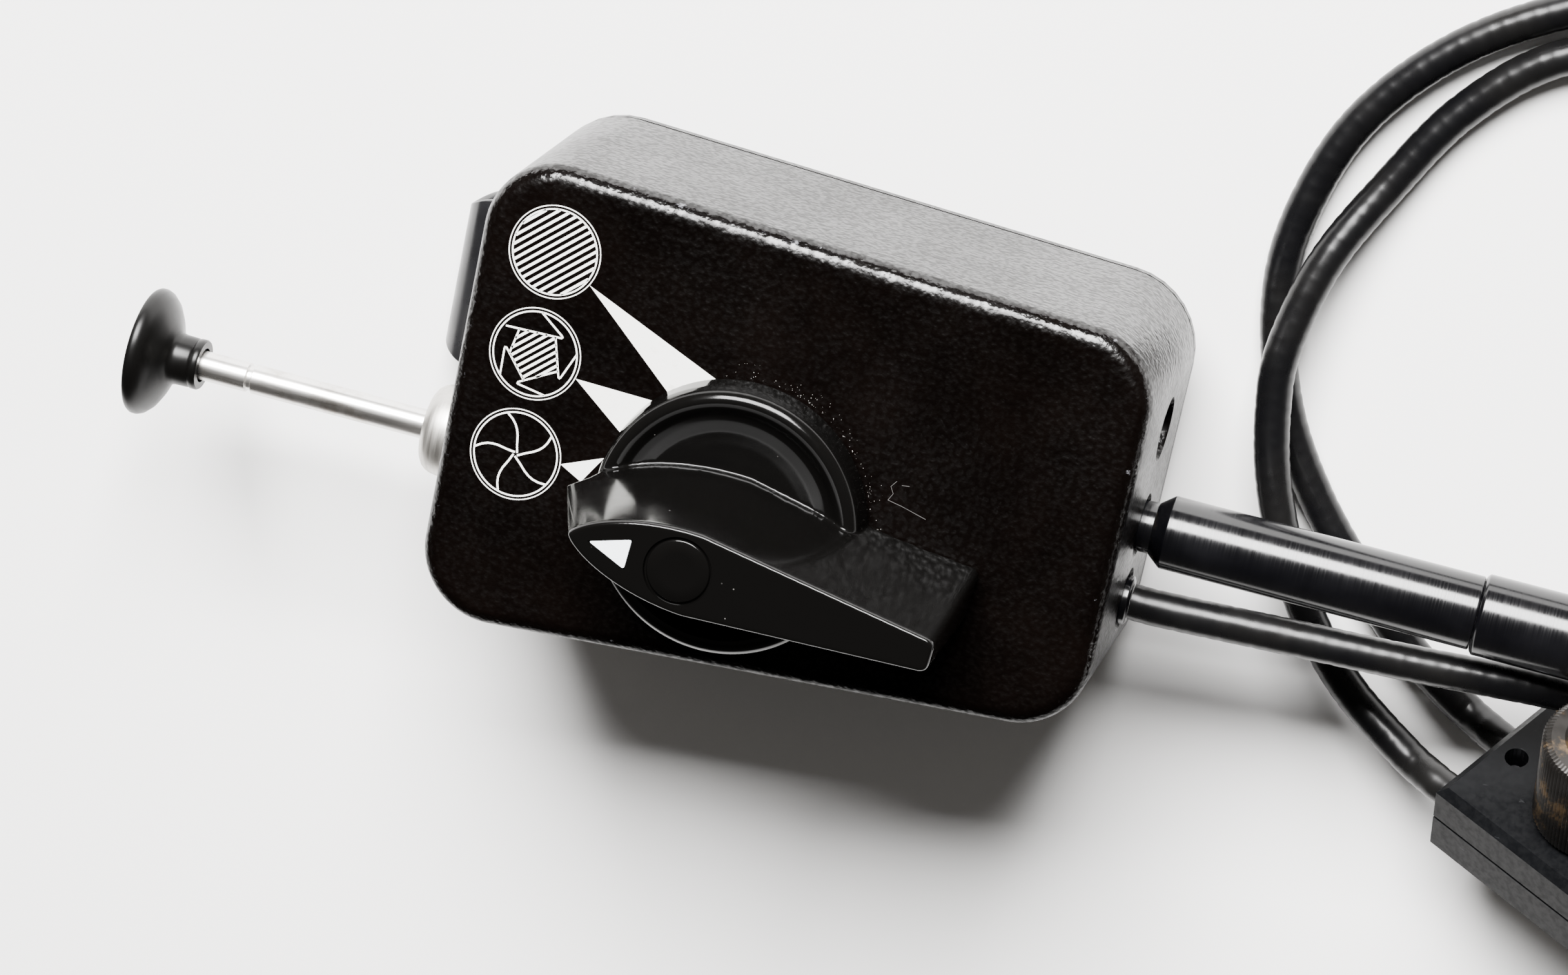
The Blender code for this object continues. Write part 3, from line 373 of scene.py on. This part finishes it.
# ---------------------------------------------------------------- cables
CABLE_R = 2.0
ENTRY_RELEASE, ENTRY_APERTURE, ENTRY_Z = 3.8, 13.2, 4.8
BLOCK_YAW, BLOCK_RISE, BLOCK_TILT = math.radians(-15.0), math.radians(28.0), math.radians(50.5)
BLOCK_WIDTH = 18.0
BLOCK_CORNER = Vector((74.9, -30.2, BLOCK_WIDTH * math.sin(BLOCK_TILT) * math.cos(BLOCK_RISE)))
BLOCK = (Matrix.Translation(BLOCK_CORNER) @ Matrix.Rotation(BLOCK_YAW, 4, "Z")
         @ Matrix.Rotation(-BLOCK_RISE, 4, "Y") @ Matrix.Rotation(-BLOCK_TILT, 4, "X"))
RELEASE_ROUTE = (
    (41.3, -9.6, 21.0), (54.0, -9.1, 20.6), (68.0, -8.7, 19.6), (82.0, -8.3, 17.6),
    (98.0, -9.1, 12.2), (112.0, -9.8, 6.2), (126.0, -7.6, 2.8), (138.0, -1.0, 2.05),
    (146.0, 10.0, 2.05), (149.0, 23.0, 3.0), (146.0, 36.0, 5.6), (138.0, 46.0, 7.0),
    (128.0, 53.0, 7.0), (118.0, 57.5, 4.2), (106.0, 60.0, 2.05), (92.0, 60.4, 2.05),
    (79.0, 58.8, 2.05), (67.0, 55.1, 2.05), (58.5, 47.2, 2.05), (52.6, 37.2, 2.8),
    (48.2, 28.0, 5.4), (46.2, 18.1, 6.8), (46.7, 11.0, 6.8), (48.7, 3.2, 6.8),
    (52.4, -5.0, 6.8), (57.0, -12.0, 6.4), (62.4, -17.6, 6.4),
)
APERTURE_ROUTE = (
    (106.6, -1.1, 21.0), (116.0, -0.9, 20.5), (126.5, 3.0, 14.6), (135.0, 11.0, 7.0),
    (139.3, 21.0, 2.8), (139.8, 33.0, 2.05), (136.5, 45.5, 2.05), (130.5, 56.0, 2.05),
    (121.0, 63.5, 2.05), (108.0, 67.0, 2.05), (93.0, 67.2, 2.05), (79.0, 65.0, 2.05),
    (66.0, 60.0, 2.05), (55.5, 52.8, 2.05), (47.8, 43.0, 2.05), (44.2, 31.5, 2.05),
    (44.3, 21.5, 2.05), (47.8, 10.5, 2.05), (53.6, 1.4, 2.05), (61.0, -6.6, 2.05),
    (67.6, -12.6, 2.05),
)


def block_point(x, y, z):
    return BLOCK @ Vector((x, y, z))


def smooth_route(points, step):
    """Read a Catmull-Rom curve through the route's points at an even step, on or above the surface."""
    points = [Vector(p) for p in points]
    line = [2 * points[0] - points[1]] + points + [2 * points[-1] - points[-2]]
    dense = []
    for i in range(1, len(line) - 2):
        a, b, c, d = line[i - 1:i + 3]
        for k in range(60):
            t = k / 60
            dense.append(0.5 * (2 * b + (c - a) * t + (2 * a - 5 * b + 4 * c - d) * t * t
                                + (3 * b - a - 3 * c + d) * t ** 3))
    dense.append(points[-1])
    total = sum((q - p).length for p, q in zip(dense, dense[1:]))
    count = round(total / step)
    result, run, index = [], 0.0, 0
    for p, q in zip(dense, dense[1:]):
        length = (q - p).length
        while index < count and run + length >= total * index / count - 1e-9:
            result.append(p + (q - p) * ((total * index / count - run) / length))
            index += 1
        run += length
    result.append(dense[-1])
    return [Vector((p.x, p.y, max(p.z, CABLE_R + 0.02))) for p in result]


def make_cable(name, start, route, entry_y, pieces, replaced):
    """Sheathed cable whose wound core shows as a faint spiral through the skin."""
    ends = ((-8.0, entry_y + 0.4), (-3.2, entry_y), (-1.05, entry_y))
    ends = [tuple(block_point(x, y, ENTRY_Z)) for x, y in ends]
    step, sides, pitch, groove = 0.5, 32, 1.7, 0.055
    points = smooth_route(tuple(start) + tuple(route[1:]) + tuple(ends), step)
    rings = []
    across = Vector((0, 0, 1))
    for i, point in enumerate(points):
        run = (points[min(i + 1, len(points) - 1)] - points[max(i - 1, 0)]).normalized()
        across = (across - run * across.dot(run)).normalized()
        other = run.cross(across)
        ring = []
        for k in range(sides):
            turn = 2 * math.pi * k / sides
            wave = math.sin(turn - 2 * math.pi * step * i / pitch)
            radius = CABLE_R - groove * max(0.0, wave) ** 3
            ring.append(point + (across * math.cos(turn) + other * math.sin(turn)) * radius)
        rings.append(ring)
    bm = bmesh.new()
    loft(bm, rings)
    cable = dress(raw_object(name + "_skin", bm), MATS["cable_sheath"], "housing",
                  [name] + replaced, 60.0)


def make_ferrule(number, entry_y):
    profile = rounded(((-1.0, 2.0), (-0.3, 2.12), (-0.3, 1.2), (-1.0, 1.2)), 0.1, closed=True)
    collar = lathe(profile, (0, entry_y, ENTRY_Z), (1, 0, 0), 64, hollow=True)
    obj = raw_object(f"ferrule_{number}", collar, BLOCK)
    return dress(obj, MATS["sheath_rubber"], "housing", [f"cable_ferrule_{number}"])


def make_knurled_screw():
    """Straight-knurled head on a plain stud, dished on top."""
    ridges, per_ridge, depth, head_r, screw_x, screw_y = 84, 4, 0.3, 6.4, 14.0, 9.0
    levels = ((-6.5, 1.6, 0.0), (-6.1, 2.0, 0.0), (10.3, 2.0, 0.0), (10.3, head_r - 0.7, 0.0),
              (10.5, head_r - 0.25, 0.3), (10.9, head_r, 1.0), (22.7, head_r, 1.0), (23.0, head_r - 0.3, 0.5),
              (23.3, head_r - 0.9, 0.0), (23.3, 4.1, 0.0), (23.1, 3.8, 0.0), (22.4, 3.5, 0.0))
    count = ridges * per_ridge
    rings = []
    for z, radius, cut in levels:
        ring = []
        for i in range(count):
            angle = 2 * math.pi * i / count
            r = radius - depth * cut * (1.0, 0.45, 0.0, 0.45)[i % per_ridge]
            ring.append((screw_x + r * math.cos(angle), screw_y + r * math.sin(angle), z))
        rings.append(ring)
    bm = bmesh.new()
    loft(bm, rings)
    return dress(raw_object("knurled_head", bm, BLOCK), MATS["worn_knurl"], "thumbscrew",
                 ["knurled_screw"], 25.0)


# ---------------------------------------------------------------- housing
LEFT, RIGHT = -36.4, 36.4
OUTLINE = ((LEFT, -26.6), (RIGHT, -20.6), (RIGHT, 22.1), (LEFT, 25.6))
CORNER_R, EDGE_R, DRAFT, WALL = 8.0, 2.0, 0.8, 1.8
FACE_Z, RIM_Z = 38.0, 9.7
PORT_Z = 21.0
PORTS = {"spare": 9.8, "aperture": -1.1, "release": -9.6}
PLUNGER_Y = -10.8
KNOB = (-3.8, -6.3)


def outline_at(offset, z, corner_steps=20):
    """The housing's tapered outline with round corners, grown outwards by offset."""
    points = [Vector(corner) for corner in OUTLINE]
    radius = CORNER_R + offset
    outline = []
    for i, corner in enumerate(points):
        back = (points[i - 1] - corner).normalized()
        ahead = (points[(i + 1) % 4] - corner).normalized()
        half = back.angle(ahead) / 2
        middle = (back + ahead).normalized()
        centre = corner + middle * CORNER_R / math.sin(half)
        start = math.atan2(-middle.y, -middle.x) - (math.pi / 2 - half)
        for step in range(corner_steps + 1):
            angle = start + (math.pi - 2 * half) * step / corner_steps
            outline.append(centre + Vector((math.cos(angle), math.sin(angle))) * radius)
    return [(p.x, p.y, z) for p in outline]


def make_housing():
    rings = [outline_at(-WALL, FACE_Z - WALL), outline_at(DRAFT - WALL, RIM_Z),
             outline_at(DRAFT - 0.15, RIM_Z), outline_at(DRAFT, RIM_Z + 0.15)]
    for share in (0.33, 0.66):
        rings.append(outline_at(DRAFT * (1 - share), RIM_Z + (FACE_Z - EDGE_R - RIM_Z) * share))
    for step in range(11):
        angle = math.pi / 2 * step / 10
        rings.append(outline_at(EDGE_R * (math.cos(angle) - 1), FACE_Z - EDGE_R * (1 - math.sin(angle))))
    rings.append(outline_at(-EDGE_R - 0.5, FACE_Z))
    bm = bmesh.new()
    loft(bm, rings)
    housing = raw_object("housing_shell", bm)
    port = ((RIGHT - 4.0, 3.4), (RIGHT + 0.15, 3.4), (RIGHT + 1.2, 3.9))
    for y in PORTS.values():
        combine(housing, lathe(port, (0, y, PORT_Z), (1, 0, 0), 64))
    combine(housing, lathe(((LEFT - 2.0, 3.6), (LEFT + 4.0, 3.6)), (0, PLUNGER_Y, PORT_Z), (1, 0, 0), 64))
    combine(housing, lathe(((FACE_Z - 4.0, 4.3), (FACE_Z + 2.0, 4.3)), (*KNOB, 0), count=64))
    dress(housing, MATS["wrinkle_paint"], "housing", ["front_cover"], 30.0)


def make_clip():
    """Spring strip folded back under the box."""
    thick, half_width, bend_x, bend_r, y = 1.2, 9.75, -42.8, 3.2, 2.75
    top = thick / 2 + 2 * bend_r
    path = [(24.0, top, 0.6), (23.0, top, 0.1), (0.0, top, 0.0), (bend_x, top, 0.0)]
    for step in range(1, 24):
        angle = math.pi / 2 + math.pi * step / 24
        reach = math.sin(math.pi * step / 24)
        path.append((bend_x + bend_r * math.cos(angle), thick / 2 + bend_r * (1 + math.sin(angle)),
                     1.6 * reach * reach))
    low = thick / 2
    lift = ((bend_x, 0.0, 0.0), (0.0, 0.0, 0.0), (17.0, 0.0, 0.0), (18.5, 0.2, 0.0), (20.0, 0.7, 0.0),
            (22.0, 1.5, 0.4), (23.2, 1.7, 0.7), (24.6, 1.65, 1.3), (26.0, 1.3, 2.4))
    path += [(x, low + up, narrow) for x, up, narrow in lift]
    rings = []
    for i, (x, z, narrow) in enumerate(path):
        ahead, behind = path[min(i + 1, len(path) - 1)], path[max(i - 1, 0)]
        run = Vector((ahead[0] - behind[0], ahead[1] - behind[1])).normalized()
        side = Vector((-run.y, run.x))
        half, t = half_width - narrow, thick / 2
        section = rounded(((t, -half), (t, half), (-t, half), (-t, -half)), 0.35, 3, closed=True)
        rings.append([(x + side.x * s, y + w, z + side.y * s) for s, w in section])
    bm = bmesh.new()
    loft(bm, rings)
    clip = raw_object("clip_strip", bm)
    for x in (-12.0, 12.0):
        combine(clip, lathe(((5.4, 1.15), (8.6, 1.15)), (x, y, 0), count=32))
    dress(clip, MATS["clip_lacquer"], "housing", ["belt_clip"], 30.0)


# ---------------------------------------------------------------- plunger
def make_plunger():
    place = (0, PLUNGER_Y, PORT_Z)
    button = ((-74.9, 0.2), (-75.0, 3.2), (-75.3, 5.4), (-75.75, 6.55), (-75.9, 6.85), (-75.85, 7.05),
              (-75.6, 7.2), (-75.2, 7.2), (-74.7, 7.0), (-74.0, 6.35), (-73.3, 5.2), (-72.8, 4.1),
              (-72.4, 3.3), (-72.1, 2.98), (-71.6, 2.86), (-70.2, 2.82), (-70.0, 2.7), (-69.8, 2.86),
              (-69.2, 2.86), (-69.0, 2.72), (-69.0, 1.95), (-74.0, 1.9), (-74.0, 0.2))
    obj = raw_object("button_dish", lathe(button, place, (1, 0, 0), 96, hollow=True))
    dress(obj, SATIN_BLACK, "plunger", ["plunger_button"], 40.0)
    rod = ((-73.7, 1.4), (-73.4, 1.65), (-63.6, 1.65), (-63.45, 1.4), (-63.0, 1.4), (-62.85, 1.65),
           (-28.4, 1.65), (-28.1, 1.4))
    obj = raw_object("plunger_stem", lathe(rod, place, (1, 0, 0), 64))
    dress(obj, MATS["steel"], "plunger", ["plunger_rod"], 30.0)
    bushing = ((-42.1, 1.8), (-42.1, 3.4), (-42.0, 4.1), (-41.7, 4.55), (-41.3, 4.85), (-40.8, 5.05),
               (-40.1, 5.15), (-39.2, 5.2), (-37.3, 5.2), (-37.2, 5.1), (-37.2, 3.3), (-31.6, 3.3),
               (-31.6, 1.8))
    obj = raw_object("bushing_dome", lathe(bushing, place, (1, 0, 0), 96, hollow=True))
    dress(obj, MATS["satin_nickel"], "housing", ["plunger_bushing"], 40.0)


# ---------------------------------------------------------------- outlets
def make_outlets():
    place = (0, PORTS["aperture"], PORT_Z)
    shapes = {
        "tube_neck": (0.1, ((30.0, 2.0), (36.2, 2.0), (36.2, 2.8), (38.25, 2.8), (38.25, 1.2), (30.0, 1.2))),
        "adjuster_tube": (0.12, ((38.2, 2.8), (39.7, 4.0), (73.25, 4.0), (73.38, 3.85), (73.38, 1.2),
                                 (38.2, 1.2))),
        "adjuster_sleeve": (0.12, ((73.4, 1.2), (73.4, 3.9), (73.55, 4.15), (73.8, 4.4), (98.0, 4.4),
                                   (98.0, 1.2))),
        "aperture_relief": (0.4, ((98.0, 3.7), (101.0, 3.45), (104.0, 2.85), (107.2, 2.2), (107.2, 0.9),
                                  (98.0, 0.9))),
    }
    for name, (radius, profile) in shapes.items():
        mat = "sheath_rubber" if name == "aperture_relief" else "black_anodised"
        profile = rounded(profile, radius, closed=True)
        obj = raw_object(name + "_turned", lathe(profile, place, (1, 0, 0), 96, hollow=True))
        dress(obj, MATS[mat], "housing", [name], 35.0)
    place = (0, PORTS["release"], PORT_Z)
    gland = ((29.0, 2.0), (36.2, 2.0), (36.2, 2.7), (37.4, 2.7), (37.6, 2.3), (37.6, 1.0), (29.0, 1.0))
    gland = rounded(gland, 0.12, closed=True)
    obj = raw_object("gland_collar", lathe(gland, place, (1, 0, 0), 64, hollow=True))
    dress(obj, MATS["black_anodised"], "housing", ["release_gland"], 35.0)


# ---------------------------------------------------------------- selector
LEVER = Matrix.Translation((*KNOB, FACE_Z)) @ Matrix.Rotation(math.radians(-4.0), 4, "Z")
LEVER_TOP, DISC_R = 24.0, 14.6
LEVER_TAIL, NOSE_FOOT, WIDEST = 26.7, 9.6, 1.5
POINTER = ((-9.5, 0.0), (-5.3, 1.6), (-5.3, -1.6))


def lever_nose(z):
    return -11.7 - 0.3 * (LEVER_TOP - max(z, NOSE_FOOT))


def lever_width(u, z):
    """Half-width of the lever: its walls draw in a little towards the top."""
    share = z / LEVER_TOP
    if u <= WIDEST:
        reach = min(1.0, (WIDEST - u) / (WIDEST - lever_nose(z)))
        return (5.15 - 0.75 * share) * (1 - reach * reach) ** (0.95 - 0.25 * share)
    foot = 3.05 + 2.1 * ((LEVER_TAIL - u) / (LEVER_TAIL - WIDEST)) ** 1.9
    return foot * (1 - share) + (4.4 - 0.108 * (u - WIDEST)) * share


def lever_ring(inset, z):
    """Outline of the lever at one height, nose towards -u."""
    nose = lever_nose(z)
    stations = [nose + (WIDEST - nose) * (1 - math.cos(math.pi / 2 * i / 60)) for i in range(1, 61)]
    stations += [WIDEST + (LEVER_TAIL - 0.8 - WIDEST) * i / 70 for i in range(1, 71)]
    side = [(u, lever_width(u, z)) for u in stations]
    last = side[-1][1]
    side += [(LEVER_TAIL - 0.4, last - 0.15), (LEVER_TAIL - 0.1, last - 0.45), (LEVER_TAIL, last - 0.9)]
    side = [(min(u, LEVER_TAIL - inset), max(v - inset, 0.02)) for u, v in side]
    ring = [(nose + inset, 0.0)] + side + [(u, -v) for u, v in reversed(side)]
    return [(u, v, z) for u, v in ring]


def make_knob():
    levels = [(0.0, 0.5 + 23.0 * i / 70) for i in range(71)]
    levels += [(0.04, 23.75), (0.12, 23.92), (0.3, LEVER_TOP)]
    bm = bmesh.new()
    loft(bm, [lever_ring(inset, z) for inset, z in levels])
    knob = raw_object("selector_lever", bm)
    overhang = bmesh.new()
    under = ((-20.0, -1.0), (-13.7, -1.0), (-13.7, 5.2), (-14.3, 7.9), (-15.4, 9.3), (-20.0, 9.9))
    loft(overhang, [[(u, v, z) for u, z in under] for v in (-9.0, 9.0)])
    combine(knob, overhang)
    drop = ((0.6, 0.0), (3.4, 0.2), (4.3, 0.42), (4.8, 0.8), (5.05, 1.2), (5.12, 1.6), (5.0, 2.05),
            (4.7, 2.5), (4.3, 3.0), (3.9, 3.8), (3.55, 5.0), (3.35, 6.5), (3.2, 8.6), (3.2, 11.6))
    disc = [(z, DISC_R - inward) for z, inward in drop]
    combine(knob, lathe(disc, count=160), "UNION")
    mod = knob.modifiers.new("remesh", "REMESH")
    mod.mode = "VOXEL"
    mod.voxel_size = 0.17 * MM
    mod = knob.modifiers.new("soften", "SMOOTH")
    mod.factor = 0.5
    mod.iterations = 5
    apply_modifiers(knob)
    depths = ((0.12, 0.1), (0.1, 1.8), (0.05, 3.1), (0.16, 3.25), (0.4, 3.3), (0.4, 3.5), (0.08, 3.55),
              (-1.0, 3.75))
    sunk = [(LEVER_TOP - depth, radius) for depth, radius in depths]
    combine(knob, lathe(sunk, count=96))
    combine(knob, prism(grown(POINTER, 0.05), LEVER_TOP - 0.7, LEVER_TOP + 1.0))
    knob.data.transform(Matrix.Scale(MM, 4) @ LEVER @ Matrix.Scale(1 / MM, 4))
    dress(knob, MATS["black_moulding"], "selector", ["selector_knob", "knob_cap"], 50.0)
    inlay = rounded(POINTER, 0.35, 4, closed=True)
    obj = raw_object("pointer_mark", prism(inlay, LEVER_TOP - 0.7, LEVER_TOP - 0.02), LEVER)
    dress(obj, MATS["white_inlay"], "selector", ["pointer_inlay"])


def grown(outline, distance):
    centre = sum((Vector(p) for p in outline), Vector((0, 0))) / len(outline)
    inner = min((Vector(p) - centre).length for p in outline) / 2
    return [tuple(centre + (Vector(p) - centre) * (1 + distance / inner)) for p in outline]


# ---------------------------------------------------------------- printed marks
INK_FOOT, INK_TOP = FACE_Z - 0.05, FACE_Z + 0.03
ICONS = ((-28.0, 16.2), (-28.0, 5.0), (-28.0, -6.2))
# each icon's two rings, as (radius, line width), then what is drawn inside them
ICON_RINGS = ((4.95, 0.12), (4.57, 0.18))
HATCH_REACH, BLADE_REACH = 4.5, 4.52
HATCH_ANGLE, HATCH_WIDTH, BLADE_WIDTH = math.radians(42.0), 0.3, 0.2


def stroke(bm, points, width, top=INK_TOP):
    """Flat painted line of even width along a run of points."""
    points = [Vector(p) for p in points]
    left, right = [], []
    for i, point in enumerate(points):
        run = (points[min(i + 1, len(points) - 1)] - points[max(i - 1, 0)]).normalized()
        side = Vector((-run.y, run.x)) * width / 2
        left.append(point + side)
        right.append(point - side)
    rows = []
    for line in (left, right):
        rows.append([bm.verts.new((p.x, p.y, top)) for p in line])
        rows.append([bm.verts.new((p.x, p.y, INK_FOOT)) for p in line])
    upper_left, lower_left, upper_right, lower_right = rows
    for i in range(len(points) - 1):
        bm.faces.new((upper_left[i], upper_left[i + 1], upper_right[i + 1], upper_right[i]))
        bm.faces.new((upper_left[i], lower_left[i], lower_left[i + 1], upper_left[i + 1]))
        bm.faces.new((upper_right[i], upper_right[i + 1], lower_right[i + 1], lower_right[i]))
        bm.faces.new((lower_left[i], lower_right[i], lower_right[i + 1], lower_left[i + 1]))
    for i in (0, len(points) - 1):
        bm.faces.new((upper_left[i], upper_right[i], lower_right[i], lower_left[i]))


def ring_stroke(bm, centre, radius, width, steps=96):
    x, y = centre
    inner, outer = radius - width / 2, radius + width / 2
    rings = []
    for r, z in ((inner, INK_FOOT), (inner, INK_TOP), (outer, INK_TOP), (outer, INK_FOOT)):
        rings.append([(x + a, y + b, z) for a, b, _ in circle(r, 0, steps)])
    loft(bm, rings, loop=True)


def hatch(bm, centre, edge, angle, step, width):
    """Parallel lines clipped to a convex outline given about the centre."""
    run = Vector((math.cos(angle), math.sin(angle)))
    side = Vector((-run.y, run.x))
    reach = max(Vector(p).length for p in edge)
    offset = -reach + step / 2
    while offset < reach:
        hits = []
        for p, q in zip(edge, edge[1:] + edge[:1]):
            p, q = Vector(p), Vector(q)
            a, b = p.dot(side) - offset, q.dot(side) - offset
            if (a < 0) != (b < 0):
                hits.append((p + (q - p) * (a / (a - b))).dot(run))
        if len(hits) == 2 and abs(hits[0] - hits[1]) > width:
            low, high = sorted(hits)
            base = Vector(centre) + side * offset
            stroke(bm, [base + run * low, base + run * high], width)
        offset += step


def turned_about(points, centre, angle):
    turn = Matrix.Rotation(angle, 2)
    return [Vector(centre) + turn @ Vector(p) for p in points]


PENTAGON = ((-2.15, 2.24), (1.82, 2.35), (2.79, -1.21), (-0.65, -3.12), (-2.73, -0.6))


def half_closed_blades(bm, centre):
    """Blade edges round a half-closed aperture: each passes its corner, hooks and runs back to the ring."""
    corners = [Vector(p) for p in PENTAGON]
    for i in range(4):
        start, corner = corners[i], corners[(i + 1) % 5]
        run = (corner - start).normalized()
        out = Vector((-run.y, run.x))
        tip = corner + run * 0.68
        begin = start - run * 1.5 if i == 0 else start
        back = (-0.78 * run + 0.62 * out).normalized()
        turn_end = tip + out * 0.24
        ahead = turn_end.dot(back)
        reach = math.sqrt(ahead ** 2 - turn_end.length_squared + BLADE_REACH ** 2) - ahead
        line = [begin, tip, tip + run * 0.1 + out * 0.1, turn_end, turn_end + back * reach]
        stroke(bm, [Vector(centre) + p for p in line], BLADE_WIDTH)
    stroke(bm, [Vector(centre) + corners[4], Vector(centre) + corners[0]], BLADE_WIDTH)


def make_icons():
    closed_blade = ((0.2, -0.1), (1.0, 0.35), (1.9, 0.78), (2.45, 1.15), (2.85, 1.55), (3.2, 2.1),
                    (3.48, 2.85))
    for number, centre in enumerate(ICONS, 1):
        bm = bmesh.new()
        for radius, width in ICON_RINGS:
            ring_stroke(bm, centre, radius, width)
        if number == 1:
            disc = [(x, y) for x, y, _ in circle(HATCH_REACH, 0, 72)]
            hatch(bm, centre, disc, HATCH_ANGLE, 0.7, HATCH_WIDTH)
        if number == 2:
            half_closed_blades(bm, centre)
            hatch(bm, centre, list(PENTAGON), HATCH_ANGLE, 0.66, HATCH_WIDTH)
        if number == 3:
            for blade in range(5):
                stroke(bm, turned_about(closed_blade, centre, 2 * math.pi * blade / 5), 0.22)
        obj = raw_object(f"icon_{number}", bm)
        dress(obj, WHITE_INK, "housing", sharp=30.0)


def make_wedges():
    """White wedges from each icon to the disc, given about the middle icon."""
    origin_x, origin_y = ICONS[1]
    shapes = (((4.3, 8.7), (19.5, 2.3), (15.0, -0.6)), ((4.8, -1.5), (13.6, -1.7), (10.7, -6.0)),
              ((5.0, -11.0), (9.5, -9.1), (7.5, -12.3)))
    bm = bmesh.new()
    for shape in shapes:
        loft(bm, [[(x + origin_x, y + origin_y, z) for x, y in shape] for z in (INK_FOOT, INK_TOP)])
    dress(raw_object("pointer_wedges", bm), WHITE_INK, "housing", sharp=30.0)


def make_scratches():
    lines = (((12.4, 1.6), (11.9, 0.9), (12.3, 0.2), (11.9, -0.6)),
             ((11.9, -0.6), (13.5, -0.9), (16.2, -1.6)), ((13.0, 1.3), (13.8, 1.4)))
    bm = bmesh.new()
    for line in lines:
        stroke(bm, line, 0.035, FACE_Z + 0.015)
    dress(raw_object("face_scratches", bm), SCRATCH, "housing", sharp=30.0)


def make_dust():
    """Crumbs of dust caught on the face round the disc."""
    scatter = random.Random(11)
    bm = bmesh.new()
    for _ in range(130):
        angle = math.radians(scatter.uniform(-25.0, 105.0))
        reach = DISC_R + 0.1 + scatter.random() ** 3 * 1.6
        size = scatter.uniform(0.02, 0.05)
        x, y = KNOB[0] + reach * math.cos(angle), KNOB[1] + reach * math.sin(angle)
        foot = []
        for a in (0.0, 1.3, 2.5, 3.8, 5.0):
            corner_x = x + size * scatter.uniform(0.4, 1.5) * math.cos(a)
            corner_y = y + size * scatter.uniform(0.4, 1.5) * math.sin(a)
            foot.append((corner_x, corner_y))
        top = [(x + (a - x) * 0.5, y + (b - y) * 0.5) for a, b in foot]
        loft(bm, [[(a, b, FACE_Z - 0.02) for a, b in foot], [(a, b, FACE_Z + size * 0.7) for a, b in top]])
    dress(raw_object("face_dust", bm), DUST, "housing", sharp=30.0)


# ---------------------------------------------------------------- surroundings
def make_floor():
    bm = bmesh.new()
    half, square = 4000.0, ((-1, -1), (1, -1), (1, 1), (-1, 1))
    loft(bm, [[(x * half, y * half, z) for x, y in square] for z in (-20.0, 0.0)])
    floor = raw_object("floor", bm)
    paint = Paint("pale_floor", (0.9, 0.895, 0.885), 0.55)
    floor.data.materials.append(paint.mat)


def make_world():
    """Soft warm light all round, weaker overhead and stronger from beyond the box."""
    world = bpy.data.worlds.new("studio")
    bpy.context.scene.world = world
    world.use_nodes = True
    tree = world.node_tree
    coords = tree.nodes.new("ShaderNodeTexCoord")
    split = tree.nodes.new("ShaderNodeSeparateXYZ")
    tree.links.new(coords.outputs["Generated"], split.inputs[0])
    height = tree.nodes.new("ShaderNodeMapRange")
    ahead = tree.nodes.new("ShaderNodeMapRange")
    both = tree.nodes.new("ShaderNodeMath")
    both.operation = "MULTIPLY"
    falloffs = ((height, "Z", (0.2, 0.85, 0.24, 0.13)), (ahead, "Y", (-0.6, 0.7, 0.45, 1.0)))
    for ramp, axis, values in falloffs:
        ramp.interpolation_type = "SMOOTHSTEP"
        tree.links.new(split.outputs[axis], ramp.inputs[0])
        for index, value in enumerate(values, 1):
            ramp.inputs[index].default_value = value
        tree.links.new(ramp.outputs[0], both.inputs[0 if axis == "Z" else 1])
    background = tree.nodes["Background"]
    background.inputs["Color"].default_value = (1.0, 0.95, 0.9, 1.0)
    tree.links.new(both.outputs[0], background.inputs["Strength"])


def make_window():
    data = bpy.data.lights.new("window", "AREA")
    data.shape = "RECTANGLE"
    data.size = 0.7
    data.size_y = 0.5
    data.energy = 98.0
    data.color = (1.0, 0.99, 0.985)
    lamp = bpy.data.objects.new("window", data)
    lamp.location = (-0.1, 0.74, 0.78)
    aim = Vector((0.02, 0.0, 0.02)) - lamp.location
    lamp.rotation_euler = aim.to_track_quat("-Z", "Y").to_euler()
    bpy.context.scene.collection.objects.link(lamp)


def paint_cad_nodes():
    """Give every CAD node that still shows the material of its slot."""
    for part in frame["record"]["subparts"]:
        node = frame["nodes"][part["node"]]
        for slot in node.material_slots:
            slot.material = MATS[part["material_slot"]]


def main():
    make_camera()
    paint_cad_nodes()
    knurled = make_knurled_screw()
    block = ["block_lower_plate", "block_upper_plate", "block_screw_1", "block_screw_2", "release_lug",
             "aperture_lug"]
    pieces = [frame["nodes"][name] for name in block] + [knurled, make_ferrule(1, ENTRY_RELEASE)]
    gland_exit = (37.7, PORTS["release"], PORT_Z)
    make_cable("release_cable", [gland_exit, RELEASE_ROUTE[0]], RELEASE_ROUTE, ENTRY_RELEASE, pieces,
               ["release_relief"])
    make_cable("aperture_cable", APERTURE_ROUTE[:1], APERTURE_ROUTE, ENTRY_APERTURE,
               [make_ferrule(2, ENTRY_APERTURE)], [])
    make_housing()
    make_clip()
    make_plunger()
    make_outlets()
    make_knob()
    make_icons()
    make_wedges()
    make_scratches()
    make_dust()
    make_floor()
    make_world()
    make_window()


main()
